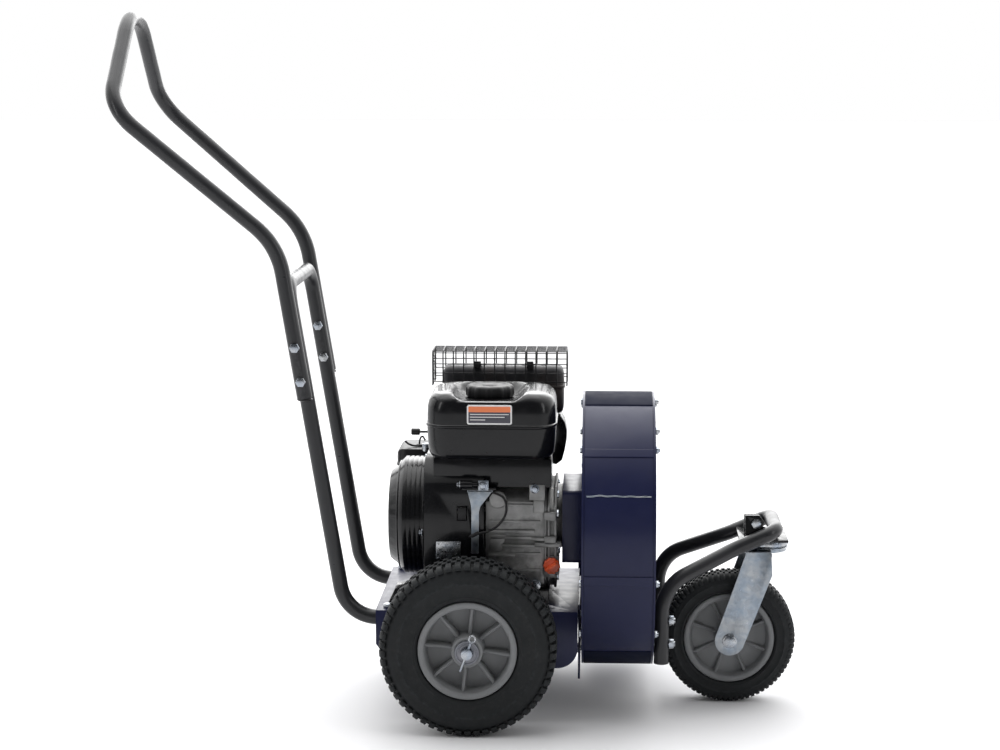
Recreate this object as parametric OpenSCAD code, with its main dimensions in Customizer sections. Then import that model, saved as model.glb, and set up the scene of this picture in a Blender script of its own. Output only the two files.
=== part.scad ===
// Walk-behind leaf blower: engine, scroll fan, two fixed wheels and a front caster.
// +X is forward, +Z is up, and the machine stands on Z = 0.
// The origin is under the middle of the machine.

/* [Wheels] */
// Radius of a rear tyre
rear_wheel_r = 127; // [122:1:128]
// Width of a rear tyre
rear_tyre_w = 70; // [60:1:72]
// Distance of a rear wheel's middle from the centre line
rear_track = 190; // [188:1:194]
// Place of the rear axle along the machine
axle_x = 20; // [10:1:30]
// Radius of the rear axle
axle_r = 8; // [7:0.5:8]
// Radius of the caster tyre
caster_wheel_r = 99; // [96:1:102]
// Width of the caster tyre
caster_tyre_w = 52; // [40:1:54]
// Place of the caster's swivel axis along the machine
swivel_x = 457; // [455:1:460]
// Distance that the caster wheel trails behind its swivel axis
caster_trail = 55; // [50:1:58]

/* [Frame and handle] */
// Half of the frame's width
frame_half_w = 142; // [140:1:144]
// Top of the frame's deck
deck_z = 166; // [164:1:168]
// Bottom of the frame's side walls
frame_low_z = 82; // [78:1:90]
// Rear end of the frame
frame_rear_x = -118; // [-122:1:-114]
// Front end of the frame
frame_front_x = 176; // [175:1:177]
// Sheet thickness of the frame and the fan housing
sheet = 3; // [2.5:0.5:3]
// Outer radius of every bent tube
tube_r = 11; // [10:0.5:11]
// Wall thickness of every bent tube
tube_wall = 2; // [1.5:0.5:2.5]
// Half of the lower handle's width between tube centres
lower_half_w = 125; // [123:1:125]
// Half of the upper handle's width between tube centres
upper_half_w = 147.5; // [147.5:0.5:150]
// Half of the upper handle's width at its rear bend
grip_half_w = 185; // [170:1:190]
// Height of the upper handle's top tube centre
grip_z = 1020; // [990:5:1030]

/* [Fan] */
// Height of the crankshaft and fan axis
crank_z = 280; // [279:0.5:281]
// Rear face of the fan's back plate
fan_back_x = 181; // [181:0.5:183]
// Front face of the fan's front plate
fan_front_x = 287; // [285:1:288]
// How far the plates stand out past the scroll sheet
plate_lip = 1; // [0.5:0.5:2]
// Radius of the impeller
impeller_r = 130; // [120:1:133]
// Radius of the air intake hole
intake_r = 96; // [80:1:98]
// Place of the outlet's mouth across the machine
outlet_y = 232; // [225:1:235]

/* [Engine] */
// Front face of the engine, where the fan adapter bolts on
engine_front_x = 152; // [150:1:153]
// Radius of the crankshaft
shaft_r = 10; // [9:0.5:10]
// Radius of the recoil starter's vented cover
recoil_r = 88; // [84:1:90]
// Length of the fuel tank
tank_l = 191; // [186:1:192]
// Radius of the fuel cap
fuel_cap_r = 36; // [32:1:37]

/* [Hidden] */
$fn = 48;

navy = "#20264a";
charcoal = "#232327";
gloss_black = "#141416";
aluminium = "#9a9a98";
zinc = "#c4c8cb";
rim_grey = "#7b7d7f";
rubber = "#1d1d1f";
orange = "#d94a1e";

eps = 0.3;
fit = 0.05;
caster_x = swivel_x - caster_trail;
inner_half_w = frame_half_w - sheet;
front_plate_x = fan_front_x - sheet;

// Handle side line: the legs lean rearward as they rise.
lean = 0.1654;
foot_x = -138;
function leg_x(z) = foot_x - lean * z;
lower_corner_z = deck_z - sheet - tube_r;
lower_top_z = 640;
upper_end_z = 478;
slope_low_z = 698;
slope_high_z = 893;
grip_x = -482;
grip_corner_y = 42;
handle_bolt_z = [503, 552];

// Scroll outline: four arcs, each with its centre [y, z] and the plates' outer radius.
arc_right_low = [18, crank_z + 14, 152];
arc_right_top = [-4, crank_z + 14, 174];
arc_left_top = [-4, crank_z - 8, 196];
arc_left_low = [17, crank_z - 8, 217];
duct_low_z = arc_left_low[1] - arc_left_low[2];
duct_high_z = 176;

// Places [y, z] of the bolts that clamp the two plates round the scroll.
function on_arc(arc, a, grow) = [
    arc[0] + (arc[2] + grow) * cos(a),
    arc[1] + (arc[2] + grow) * sin(a)
];
clamp_inset = -9;
clamp_points = [
    on_arc(arc_left_top, 97, clamp_inset), on_arc(arc_left_top, 124, clamp_inset),
    on_arc(arc_left_top, 135, clamp_inset), on_arc(arc_left_low, 195, clamp_inset),
    on_arc(arc_left_low, 222, clamp_inset), on_arc(arc_right_top, 60, clamp_inset),
    on_arc(arc_right_top, 12, clamp_inset), [150, duct_low_z - clamp_inset],
    [205, duct_high_z + clamp_inset]
];

// ---- helpers ----

module along_x(x0, len) {
    multmatrix([[0, 0, 1, x0], [1, 0, 0, 0], [0, 1, 0, 0], [0, 0, 0, 1]])
        linear_extrude(len) children();
}

module along_y(y0, len) {
    translate([0, y0 + len, 0])
        rotate([90, 0, 0])
            linear_extrude(len) children();
}

module rod_x(r, x0, x1, y = 0, z = 0, n = 48) {
    translate([x0, y, z]) rotate([0, 90, 0]) cylinder(r = r, h = x1 - x0, $fn = n);
}

module rod_y(r, y0, y1, x = 0, z = 0, n = 48) {
    translate([x, y1, z]) rotate([90, 0, 0]) cylinder(r = r, h = y1 - y0, $fn = n);
}

module rod_z(r, z0, z1, x = 0, y = 0, n = 48) {
    translate([x, y, z0]) cylinder(r = r, h = z1 - z0, $fn = n);
}

// Ring between two radii, turned about an axis along Y.
module turned_y(x, z) {
    translate([x, 0, z]) rotate([90, 0, 0]) rotate_extrude($fn = 96) children();
}

module mirrored_y() {
    children();
    mirror([0, 1, 0]) children();
}

function unit(v) = v / norm(v);

// Hollow tube along a path with round bends. Each point is [x, y, z] and bends[i] is the
// centre line's bend radius at point i.
module bent_tube(points, bends) {
    last = len(points) - 1;
    trim = [for (i = [0:last]) i == 0 || i == last ? 0 : bends[i] * tan(turn(points, i) / 2)];
    for (i = [0:last - 1]) {
        dir = unit(points[i + 1] - points[i]);
        from = trim[i] - (i > 0 ? bend_lap : 0);
        to = trim[i + 1] - (i + 1 < last ? bend_lap : 0);
        tube_straight(points[i] + dir * from, points[i + 1] - dir * to);
    }
    for (i = [1:last - 1]) tube_bend(points[i - 1], points[i], points[i + 1], bends[i]);
}

// How far a straight runs into a bend, and how much thicker the bend's wall is.
bend_lap = 1;
bend_grow = 0.05;

function turn(points, i) =
    acos(unit(points[i] - points[i - 1]) * unit(points[i + 1] - points[i]));

// The wall is bend_grow thicker, inside and out, where the tube is bent.
module tube_section(grow) {
    difference() {
        circle(tube_r + grow);
        circle(tube_r - tube_wall - grow);
    }
}

module tube_straight(a, b) {
    ez = unit(b - a);
    side = abs(ez[2]) < 0.9 ? [0, 0, 1] : [1, 0, 0];
    ex = unit(cross(side, ez));
    ey = cross(ez, ex);
    multmatrix([[ex[0], ey[0], ez[0], a[0]], [ex[1], ey[1], ez[1], a[1]],
                [ex[2], ey[2], ez[2], a[2]], [0, 0, 0, 1]])
        linear_extrude(norm(b - a)) tube_section(0);
}

module tube_bend(a, b, c, radius) {
    d1 = unit(b - a);
    d2 = unit(c - b);
    angle = acos(d1 * d2);
    centre = b + unit(d2 - d1) * radius / cos(angle / 2);
    start = b - d1 * radius * tan(angle / 2);
    ex = unit(start - centre);
    ey = d1;
    ez = cross(ex, ey);
    multmatrix([[ex[0], ey[0], ez[0], centre[0]], [ex[1], ey[1], ez[1], centre[1]],
                [ex[2], ey[2], ez[2], centre[2]], [0, 0, 0, 1]])
        rotate_extrude(angle = angle) translate([radius, 0]) tube_section(bend_grow);
}

// Rectangle from corner to corner with round corners.
module round_rect(low, high, r) {
    translate([low[0] + r, low[1]]) square([high[0] - low[0] - 2 * r, high[1] - low[1]]);
    translate([low[0], low[1] + r]) square([high[0] - low[0], high[1] - low[1] - 2 * r]);
    for (x = [low[0] + r, high[0] - r], y = [low[1] + r, high[1] - r]) translate([x, y]) circle(r);
}

// Hexagon bolt along Y or X: head at the low end, nut at the high end.
module hex_bolt_y(r, y0, y1, x, z, head = 5, nut = 6) {
    translate([x, y0, z]) rotate([90, 0, 0]) cylinder(r = r * 1.85, h = head, $fn = 6);
    rod_y(r, y0, y1 + nut + 2, x, z);
    translate([x, y1 + nut, z]) rotate([90, 0, 0]) difference() {
        cylinder(r = r * 1.85, h = nut, $fn = 6);
        translate([0, 0, -1]) cylinder(r = r - 0.5, h = nut + 2);
    }
}

module hex_bolt_x(r, x0, x1, y, z, head = 5, nut = 6) {
    translate([x0 - head, y, z]) rotate([0, 90, 0]) cylinder(r = r * 1.85, h = head, $fn = 6);
    rod_x(r, x0, x1 + nut + 2, y, z);
    translate([x1, y, z]) rotate([0, 90, 0]) difference() {
        cylinder(r = r * 1.85, h = nut, $fn = 6);
        translate([0, 0, -1]) cylinder(r = r - 0.5, h = nut + 2);
    }
}

module cap_screw_z(r, z0, z1, x, y, head = 6) {
    rod_z(r, z0, z1, x, y);
    translate([x, y, z1]) cylinder(r = r * 1.85, h = head, $fn = 6);
}

// ---- frame ----

engine_bolt_x = [50, 112];
engine_bolt_y = [-78, 60];
deck_bolt_x = [-101, -58];

module side_wall_outline() {
    chamfer = 24;
    front_r = 30;
    difference() {
        polygon([
            [frame_rear_x, deck_z - sheet], [frame_rear_x, frame_low_z + chamfer * 1.4],
            [frame_rear_x + chamfer, frame_low_z], [frame_front_x, frame_low_z],
            [frame_front_x, deck_z - sheet]
        ]);
        difference() {
            translate([frame_front_x - front_r, frame_low_z - 1]) square([front_r + 1, front_r + 1]);
            translate([frame_front_x - front_r, frame_low_z + front_r]) circle(front_r);
        }
        translate([axle_x, rear_wheel_r]) circle(axle_r + fit);
    }
}

module base_frame() color(navy) difference() {
    union() {
        translate([frame_rear_x, -frame_half_w, deck_z - sheet])
            cube([frame_front_x - frame_rear_x, 2 * frame_half_w, sheet]);
        along_y(-frame_half_w, sheet) side_wall_outline();
        along_y(inner_half_w, sheet) side_wall_outline();
    }
    for (x = engine_bolt_x, y = engine_bolt_y) rod_z(4.4, deck_z - 10, deck_z + 1, x, y);
    for (x = deck_bolt_x, y = [-lower_half_w, lower_half_w])
        rod_z(4.1, deck_z - 10, deck_z + 1, x, y);
}

module fan_support_plate() color(navy) difference() {
    along_x(frame_front_x + 0.2, sheet) round_rect([-105, 53], [105, deck_z - 1], 14);
    for (y = support_bolt_y, z = support_bolt_z)
        rod_x(4.1, frame_front_x - 1, frame_front_x + 6, y, z);
}

module rear_riser() color(gloss_black) along_y(-112, 42) polygon([
    [-104, deck_z], [-92, deck_z + 26], [-54, deck_z + 26], [-54, deck_z]
]);

// ---- handle ----

lower_path = [
    [-30, -lower_half_w, lower_corner_z - 0.2],
    [leg_x(lower_corner_z - 0.2), -lower_half_w, lower_corner_z - 0.2],
    [leg_x(lower_top_z), -lower_half_w, lower_top_z],
    [leg_x(lower_top_z), lower_half_w, lower_top_z],
    [leg_x(lower_corner_z - 0.2), lower_half_w, lower_corner_z - 0.2],
    [-30, lower_half_w, lower_corner_z - 0.2]
];

module lower_handle() color(charcoal) difference() {
    bent_tube(lower_path, [0, 54, 34, 34, 54, 0]);
    for (z = handle_bolt_z) rod_y(4.1, -200, 200, leg_x(z), z);
    for (x = deck_bolt_x, y = [-lower_half_w, lower_half_w]) rod_z(4.1, 100, deck_z, x, y);
}

upper_path = [
    [leg_x(upper_end_z), -upper_half_w, upper_end_z],
    [leg_x(slope_low_z), -upper_half_w, slope_low_z],
    [grip_x, -grip_half_w, slope_high_z],
    [grip_x, -grip_corner_y, grip_z],
    [grip_x, grip_corner_y, grip_z],
    [grip_x, grip_half_w, slope_high_z],
    [leg_x(slope_low_z), upper_half_w, slope_low_z],
    [leg_x(upper_end_z), upper_half_w, upper_end_z]
];

module upper_handle() color(charcoal) difference() {
    bent_tube(upper_path, [0, 110, 62, 100, 100, 62, 110, 0]);
    for (z = handle_bolt_z) rod_y(4.1, -200, 200, leg_x(z), z);
}

module handle_bolts() color(zinc) mirrored_y() for (z = handle_bolt_z)
    hex_bolt_y(4, -upper_half_w - tube_r, -lower_half_w + tube_r, leg_x(z), z);

module handle_frame_bolts() color(zinc)
    for (x = deck_bolt_x, y = [-lower_half_w, lower_half_w])
        cap_screw_z(4, lower_corner_z - tube_r - 4, deck_z, x, y);

// ---- rear wheels ----

rim_r = 71;
rim_inset = 3;
hub_r = 22;
spoke_count = 8;
hub_half = 38;
bush_r = 13;

module tyre_section(outer, half, seat) {
    crown = 16;
    polygon([
        [seat, -half + 8], [seat + 7, -half], [outer - 22, -half], [outer - 9, -half + 5],
        [outer - 2, -half + crown], [outer, -8], [outer, 8], [outer - 2, half - crown],
        [outer - 9, half - 5], [outer - 22, half], [seat + 7, half], [seat, half - 8]
    ]);
}

module rim_section(outer, half, hub, bore, hub_side) {
    // outer ring, web and hub in one turned section
    polygon([
        [bore, -hub_side], [hub, -hub_side], [hub, -4], [outer - 9, -4], [outer - 9, -half],
        [outer, -half], [outer, half], [outer - 9, half], [outer - 9, 4], [hub, 4],
        [hub, hub_side], [bore, hub_side]
    ]);
}

module spokes(x, z, inner, outer, half, first_angle) {
    translate([x, 0, z])
        for (i = [0:spoke_count - 1])
            rotate([0, i * 360 / spoke_count + first_angle, 0])
                translate([inner, -half, -4]) cube([outer - inner, 2 * half, 8]);
}

module wheel_tyre(y) color(rubber) translate([0, y, 0])
    turned_y(axle_x, rear_wheel_r) tyre_section(rear_wheel_r, rear_tyre_w / 2, rim_r + 0.1);

module wheel_rim(y) color(rim_grey) translate([0, y, 0]) {
    turned_y(axle_x, rear_wheel_r)
        rim_section(rim_r, rear_tyre_w / 2 - rim_inset, hub_r, bush_r + fit, hub_half);
    spokes(axle_x, rear_wheel_r, hub_r - 2, rim_r - 7, 17, 6.5);
}

module wheel_bushes(y) color(zinc) translate([0, y, 0]) for (s = [-1, 1])
    bush(s);

module bush(s) difference() {
    union() {
        rod_y(bush_r, min(s * 18, s * hub_half), max(s * 18, s * hub_half), axle_x, rear_wheel_r);
        rod_y(17.5, min(s * hub_half, s * (hub_half + 2)), max(s * hub_half, s * (hub_half + 2)),
            axle_x, rear_wheel_r);
    }
    rod_y(axle_r + fit, -60, 60, axle_x, rear_wheel_r);
}

module wheel_left_tyre() wheel_tyre(rear_track);
module wheel_left_rim() wheel_rim(rear_track);
module wheel_left_bushes() wheel_bushes(rear_track);
module wheel_right_tyre() wheel_tyre(-rear_track);
module wheel_right_rim() wheel_rim(-rear_track);
module wheel_right_bushes() wheel_bushes(-rear_track);

axle_half = 240;
pin_y = 235.5;
pin_tilt = 20;

module rear_axle() color(zinc) difference() {
    rod_y(axle_r, -axle_half, axle_half, axle_x, rear_wheel_r);
    for (y = [-pin_y, pin_y]) translate([axle_x, y, rear_wheel_r]) rotate([0, pin_tilt, 0])
        cylinder(r = 1.8, h = 40, center = true, $fn = 24);
}

module axle_spacers() color(zinc) for (s = [-1, 1]) difference() {
    rod_y(12.5, s * (s > 0 ? frame_half_w : rear_track - hub_half - 2.3),
        s * (s > 0 ? rear_track - hub_half - 2.3 : frame_half_w), axle_x, rear_wheel_r);
    rod_y(axle_r, -300, 300, axle_x, rear_wheel_r);
}

module axle_split_pins() color(zinc) for (y = [-pin_y, pin_y])
    translate([axle_x, y, rear_wheel_r]) rotate([0, pin_tilt, 0]) {
        translate([0, 0, -27]) cylinder(r = 1.75, h = 46, $fn = 24);
        translate([0, 0, 23]) rotate([90, 0, 0])
            rotate_extrude($fn = 32) translate([4.5, 0]) circle(r = 1.6, $fn = 16);
    }

// ---- caster ----

bracket_x = fan_front_x + tube_r + eps;
bracket_half_w = 106;
bar_half_w = 60;
bar_slope = 0.445;
function bar_z(x) = 241 + (x - 400) * bar_slope;
bar_kink_x = 405;
bar_front_x = 467;
bracket_bolt_z = [111, 146];
plate_z = 251;
plate_t = 4;
fork_half_w = 37;
fork_t = 4;
crown_z = 231;
race_r = 30;
ball_ring_r = 24;

bracket_path = [
    [bracket_x, -bracket_half_w, 82], [bracket_x, -bracket_half_w, bar_z(bracket_x)],
    [bar_kink_x, -bar_half_w, bar_z(bar_kink_x)], [bar_front_x, -bar_half_w, bar_z(bar_front_x)],
    [bar_front_x, bar_half_w, bar_z(bar_front_x)], [bar_kink_x, bar_half_w, bar_z(bar_kink_x)],
    [bracket_x, bracket_half_w, bar_z(bracket_x)], [bracket_x, bracket_half_w, 82]
];

module caster_bracket() color(charcoal) difference() {
    bent_tube(bracket_path, [0, 62, 60, 20, 20, 60, 62, 0]);
    for (y = [-bracket_half_w, bracket_half_w], z = bracket_bolt_z) rod_x(4.1, 280, 320, y, z);
}

module caster_bracket_bolts() color(zinc)
    for (y = [-bracket_half_w, bracket_half_w], z = bracket_bolt_z)
        hex_bolt_x(4, front_plate_x, bracket_x + tube_r, y, z, 4, 7);

mount_bolt = [438, 280];
mount_half_w = bar_half_w - tube_r - eps;
mount_side_y = [-mount_half_w, -20.7];
mount_side_top = [292, 288];

// Top plate between the bars, with two upright cheeks on its right half.
module caster_mount() color(gloss_black) difference() {
    union() {
        translate([414, -mount_half_w, plate_z]) cube([72, 2 * mount_half_w, plate_t]);
        for (i = [0, 1]) along_y(mount_side_y[i], plate_t) polygon([
            [422, plate_z + 1], [422, mount_side_top[i]], [443, mount_side_top[i]],
            [448.5, mount_side_top[i] - 8], [448.5, plate_z + 1]
        ]);
    }
    rod_z(6.05, 200, 300, swivel_x, 0);
    rod_y(4.1, -100, 100, mount_bolt[0], mount_bolt[1]);
}

module caster_mount_bolt() color(zinc)
    hex_bolt_y(4, mount_side_y[0], mount_side_y[1] + plate_t, mount_bolt[0], mount_bolt[1]);

// Kingpin with its low top nut and the fixed upper race.
module caster_kingpin() color(zinc) {
    rod_z(6, crown_z - 8, plate_z + plate_t + 4, swivel_x, 0);
    translate([swivel_x, 0, plate_z + plate_t]) cylinder(r = 11, h = 4, $fn = 6);
    translate([swivel_x, 0, crown_z - 12]) cylinder(r = 10, h = 4.5);
    translate([swivel_x, 0, 0]) difference() {
        rod_z(race_r, plate_z - 7, plate_z);
        ball_groove(plate_z - 7);
    }
}

module ball_groove(z) translate([0, 0, z])
    rotate_extrude($fn = 64) translate([ball_ring_r, 0]) circle(r = 3.6, $fn = 24);

ball_count = 20;

module swivel_balls() color(zinc) for (i = [0:ball_count - 1])
    translate([swivel_x, 0, plate_z - 7.5]) rotate([0, 0, i * 360 / ball_count])
        translate([ball_ring_r, 0, 0]) sphere(r = 3.2, $fn = 20);

function tangent_point(p, c, r, side) =
    let (d = norm(p - c), a = acos(r / d), b = atan2(p[1] - c[1], p[0] - c[0]))
    c + r * [cos(b + side * a), sin(b + side * a)];

module fork_leg_outline() {
    centre = [caster_x, caster_wheel_r];
    end_r = 22;
    rear = [426, crown_z + fork_t];
    front = [462, crown_z + fork_t];
    polygon([
        rear, front, [464, 200], tangent_point([464, 200], centre, end_r, -1),
        centre, tangent_point(rear, centre, end_r, 1)
    ]);
    translate(centre) circle(end_r);
}

module caster_fork() color(zinc) difference() {
    union() {
        translate([424, -fork_half_w - fork_t, crown_z])
            cube([38, 2 * (fork_half_w + fork_t), fork_t]);
        rod_z(race_r, crown_z, plate_z - 8, swivel_x, 0);
        along_y(-fork_half_w - fork_t, fork_t) fork_leg_outline();
        along_y(fork_half_w, fork_t) fork_leg_outline();
    }
    rod_z(6.05, 200, 300, swivel_x, 0);
    translate([swivel_x, 0, 0]) ball_groove(plate_z - 8);
    rod_y(5.05, -80, 80, caster_x, caster_wheel_r);
}

module caster_axle() color(zinc) {
    hex_bolt_y(5, -fork_half_w - fork_t, fork_half_w + fork_t, caster_x, caster_wheel_r, 6, 7);
    for (s = [-1, 1]) difference() {
        rod_y(9, s > 0 ? 30.5 : -fork_half_w, s > 0 ? fork_half_w : -30.5, caster_x, caster_wheel_r);
        rod_y(5, -60, 60, caster_x, caster_wheel_r);
    }
}

caster_rim_r = 68;

module caster_tyre() color(rubber) turned_y(caster_x, caster_wheel_r)
    tyre_section(caster_wheel_r, caster_tyre_w / 2, caster_rim_r + 0.1);

module caster_rim() color(rim_grey) {
    turned_y(caster_x, caster_wheel_r)
        rim_section(caster_rim_r, caster_tyre_w / 2 - rim_inset, 19, 5.05, 30);
    spokes(caster_x, caster_wheel_r, 17, caster_rim_r - 7, 13, -25);
}

// ---- fan housing ----

module quarter(arc, grow, sy, sz) intersection() {
    translate([arc[0], arc[1]]) circle(arc[2] + grow, $fn = 128);
    translate([arc[0] + (sy < 0 ? -300 : 0), arc[1] + (sz < 0 ? -300 : 0)]) square(300);
}

// Inside of the scroll's outline, grown outward; mouth is where the duct ends.
module scroll_area(grow, mouth) {
    quarter(arc_right_top, grow, 1, 1);
    quarter(arc_left_top, grow, -1, 1);
    quarter(arc_left_low, grow, -1, -1);
    quarter(arc_right_low, grow, 1, -1);
    right = arc_right_top[0] + arc_right_top[2] + grow;
    translate([arc_left_top[0] - 1, arc_left_top[1] - 1])
        square([right - arc_left_top[0] + 1, arc_right_top[1] - arc_left_top[1] + 2]);
    translate([arc_left_low[0] - 1, duct_low_z - grow])
        square([mouth - arc_left_low[0] + 1, duct_high_z - duct_low_z + 2 * grow]);
    translate([arc_left_low[0] - 1, duct_high_z - 30])
        square([20, arc_left_top[1] - duct_high_z + 31]);
}

support_bolt_y = [-85, 85];
support_bolt_z = [98, 150];
adapter_bolt_r = 46;
adapter_bolt_a = [45, 135, 225, 315];

module clamp_holes(r) for (p = clamp_points) translate(p) circle(r);

module fan_back_plate() color(navy) along_x(fan_back_x, sheet) difference() {
    scroll_area(0, outlet_y);
    translate([0, crank_z]) circle(30);
    for (a = adapter_bolt_a)
        translate([adapter_bolt_r * cos(a), crank_z + adapter_bolt_r * sin(a)]) circle(4.1);
    for (y = support_bolt_y, z = support_bolt_z) translate([y, z]) circle(4.1);
    clamp_holes(3.1);
}

module fan_front_plate() color(navy) along_x(front_plate_x, sheet) difference() {
    scroll_area(0, outlet_y);
    translate([0, crank_z]) circle(intake_r, $fn = 96);
    for (y = [-bracket_half_w, bracket_half_w], z = bracket_bolt_z) translate([y, z]) circle(4.1);
    clamp_holes(3.1);
}

band_x = fan_back_x + sheet;
band_w = front_plate_x - band_x;

module fan_scroll() color(navy) along_x(band_x, band_w) difference() {
    scroll_area(-plate_lip, outlet_y);
    scroll_area(-plate_lip - sheet, outlet_y + 20);
}

// Bolts from the support plate and the engine adapter into the fan's back plate.
module fan_mount_bolts() color(zinc) {
    for (y = support_bolt_y, z = support_bolt_z)
        hex_bolt_x(4, frame_front_x + 0.2, band_x, y, z, 4, 3);
    for (a = adapter_bolt_a)
        translate([0, adapter_bolt_r * cos(a), crank_z + adapter_bolt_r * sin(a)]) {
            rod_x(4, fan_back_x - 10, band_x);
            translate([band_x, 0, 0]) rotate([0, 90, 0]) cylinder(r = 7.4, h = 3, $fn = 6);
        }
}

guard_ring_count = 4;
guard_t = 2;

module intake_guard() color(gloss_black) along_x(fan_front_x, guard_t) {
    translate([0, crank_z]) {
        difference() {
            circle(intake_r + 8, $fn = 96);
            circle(intake_r - 3, $fn = 96);
        }
        for (i = [0:guard_ring_count - 1]) difference() {
            circle(18 + i * 20, $fn = 96);
            circle(15 + i * 20, $fn = 96);
        }
        for (i = [0:3]) rotate(i * 45) {
            translate([14, -1.5]) square([intake_r - 12, 3]);
            translate([-intake_r + 2 - 4, -1.5]) square([intake_r - 10, 3]);
        }
        circle(9);
    }
}

flange_low = [fan_back_x - 8, duct_low_z - 8];
flange_high = [fan_front_x + 6, duct_high_z + 8];

module outlet_flange() color(navy) translate([0, outlet_y + 4, 0]) rotate([90, 0, 0])
    linear_extrude(4) difference() {
        translate(flange_low) square(flange_high - flange_low);
        translate([band_x, duct_low_z + plate_lip + sheet])
            square([band_w, duct_high_z - duct_low_z - 2 * (plate_lip + sheet)]);
        for (x = [flange_low[0] + 5, flange_high[0] - 5], z = [duct_low_z + 12, duct_high_z - 12])
            translate([x, z]) circle(2.6);
    }

module housing_bolts() color(zinc) for (p = clamp_points)
    hex_bolt_x(3, fan_back_x, fan_front_x, p[0], p[1], 3, 4);

blade_count = 10;
blade_w = 78;
hub_x = band_x + 4;

module impeller() color("#55585c") difference() {
    union() {
        rod_x(impeller_r, hub_x, hub_x + 4, 0, crank_z, 96);
        rod_x(26, hub_x, hub_x + 46, 0, crank_z);
        for (i = [0:blade_count - 1]) translate([hub_x + 2, 0, crank_z])
            rotate([i * 360 / blade_count, 0, 0])
                translate([0, 22, -2]) cube([blade_w, impeller_r - 25, 4]);
    }
    rod_x(shaft_r, hub_x - 1, hub_x + 60, 0, crank_z);
}

module impeller_bolt() color(zinc) {
    rod_x(15, hub_x + 46, hub_x + 49, 0, crank_z);
    translate([hub_x + 49, 0, crank_z]) rotate([0, 90, 0]) cylinder(r = 9, h = 7, $fn = 6);
}

adapter_low = [-88, 226];
adapter_high = [60, 334];

module engine_adapter() color(navy) difference() {
    along_x(engine_front_x, fan_back_x - engine_front_x) round_rect(adapter_low, adapter_high, 6);
    rod_x(28, engine_front_x - 1, fan_back_x + 1, 0, crank_z);
    for (a = adapter_bolt_a) rod_x(4.1, fan_back_x - 12, fan_back_x + 1,
        adapter_bolt_r * cos(a), crank_z + adapter_bolt_r * sin(a));
}

// ---- engine ----

case_x = 40;
case_cover_x = 126;
head_tilt = 25;
cylinder_y = 66;
foot_h = 20;
drain_at = [113, 195];

module case_outline() {
    polygon([
        [-92, 196], [-78, 184], [66, 184], [76, 194], [76, 300], [52, 338], [-70, 338], [-92, 318]
    ]);
}

module crankcase() color(aluminium) difference() {
    union() {
        along_x(case_x, case_cover_x - case_x) case_outline();
        translate([case_x - 4, -96, deck_z]) cube([96, 176, foot_h]);
        for (z = [215:24:311]) translate([case_x + 6, -95, z]) cube([case_cover_x - case_x - 12, 8, 4]);
    }
    along_x(case_x + 6, case_cover_x - case_x) round_rect([-84, 192], [68, 330], 10);
    rod_x(shaft_r + fit, case_x - 10, case_x + 20, 0, crank_z);
    for (x = engine_bolt_x, y = engine_bolt_y) {
        rod_z(4.4, deck_z - 1, deck_z + 14, x, y);
        translate([x, y, deck_z + 12]) cylinder(r = 9, h = foot_h - 11, $fn = 24);
    }
    rod_y(8, -100, -80, drain_at[0], drain_at[1]);
}

module side_cover_outline() {
    polygon([
        [-88, 204], [-74, 190], [58, 190], [70, 202], [70, 296], [46, 332], [-62, 332], [-88, 308]
    ]);
}

dipstick_at = [137, -88, 224];

module crankcase_side_cover() color(aluminium) difference() {
    union() {
        along_x(case_cover_x, 16) side_cover_outline();
        rod_x(48, case_cover_x, engine_front_x, 0, crank_z);
        translate([dipstick_at[0] - 11, dipstick_at[1] - 4, dipstick_at[2] - 14])
            cube([22, 24, 28]);
    }
    rod_x(shaft_r + fit, case_cover_x - 1, engine_front_x + 1, 0, crank_z);
    rod_y(8.05, dipstick_at[1] - 5, dipstick_at[1] + 21, dipstick_at[0], dipstick_at[2]);
    for (p = cover_bolts) rod_x(3.05, case_cover_x - 1, case_cover_x + 17, p[0], p[1]);
}

cover_bolts = [[-58, 200], [-78, 298], [-52, 322], [36, 322], [60, 290], [60, 214], [-10, 199]];

module crankcase_bolts() color(zinc) for (p = cover_bolts) {
    rod_x(3, case_cover_x, case_cover_x + 16, p[0], p[1]);
    translate([case_cover_x + 16, p[0], p[1]]) rotate([0, 90, 0]) cylinder(r = 6, h = 5, $fn = 6);
}

module crankshaft() color(zinc) {
    rod_x(shaft_r, -78, hub_x + 46, 0, crank_z);
    rod_x(30, 66, 74, 0, crank_z);
    rod_x(30, 100, 108, 0, crank_z);
}

module tilted() translate([0, cylinder_y, crank_z + 12]) rotate([head_tilt, 0, 0]) children();

module cylinder_block() color(aluminium) difference() {
    tilted() {
        translate([50, 16, -34]) cube([66, 74, 68]);
        for (y = [26:10:76]) translate([44, y, -42]) cube([78, 4, 84]);
    }
    along_x(case_x - 1, case_cover_x - case_x + 30) case_outline();
    along_x(case_x - 1, case_cover_x - case_x + 30) translate([60, 180]) square([17, 124]);
    tilted() rod_y(34, 12, 95, 83, 0);
}

module cylinder_head() color(aluminium) tilted() {
    translate([44, 90.1, -42]) cube([78, 16, 84]);
    translate([52, 106, -34]) cube([62, 18, 68]);
}

module spark_plug() color("#26262a") tilted() {
    rod_x(9, 122, 136, 98, 18);
    rod_x(5, 136, 146, 98, 18);
}

shroud_x = -50;
shroud_near_y = -106;
switch_x = 6;
switch_z = crank_z + 23;
shroud_front_x = 38;

module shroud_outline(g) {
    intersection() {
        translate([0, crank_z]) circle(124 + g, $fn = 96);
        translate([shroud_near_y - g, 190 - g]) square([206 + 2 * g, 190 + 2 * g]);
    }
}

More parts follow.
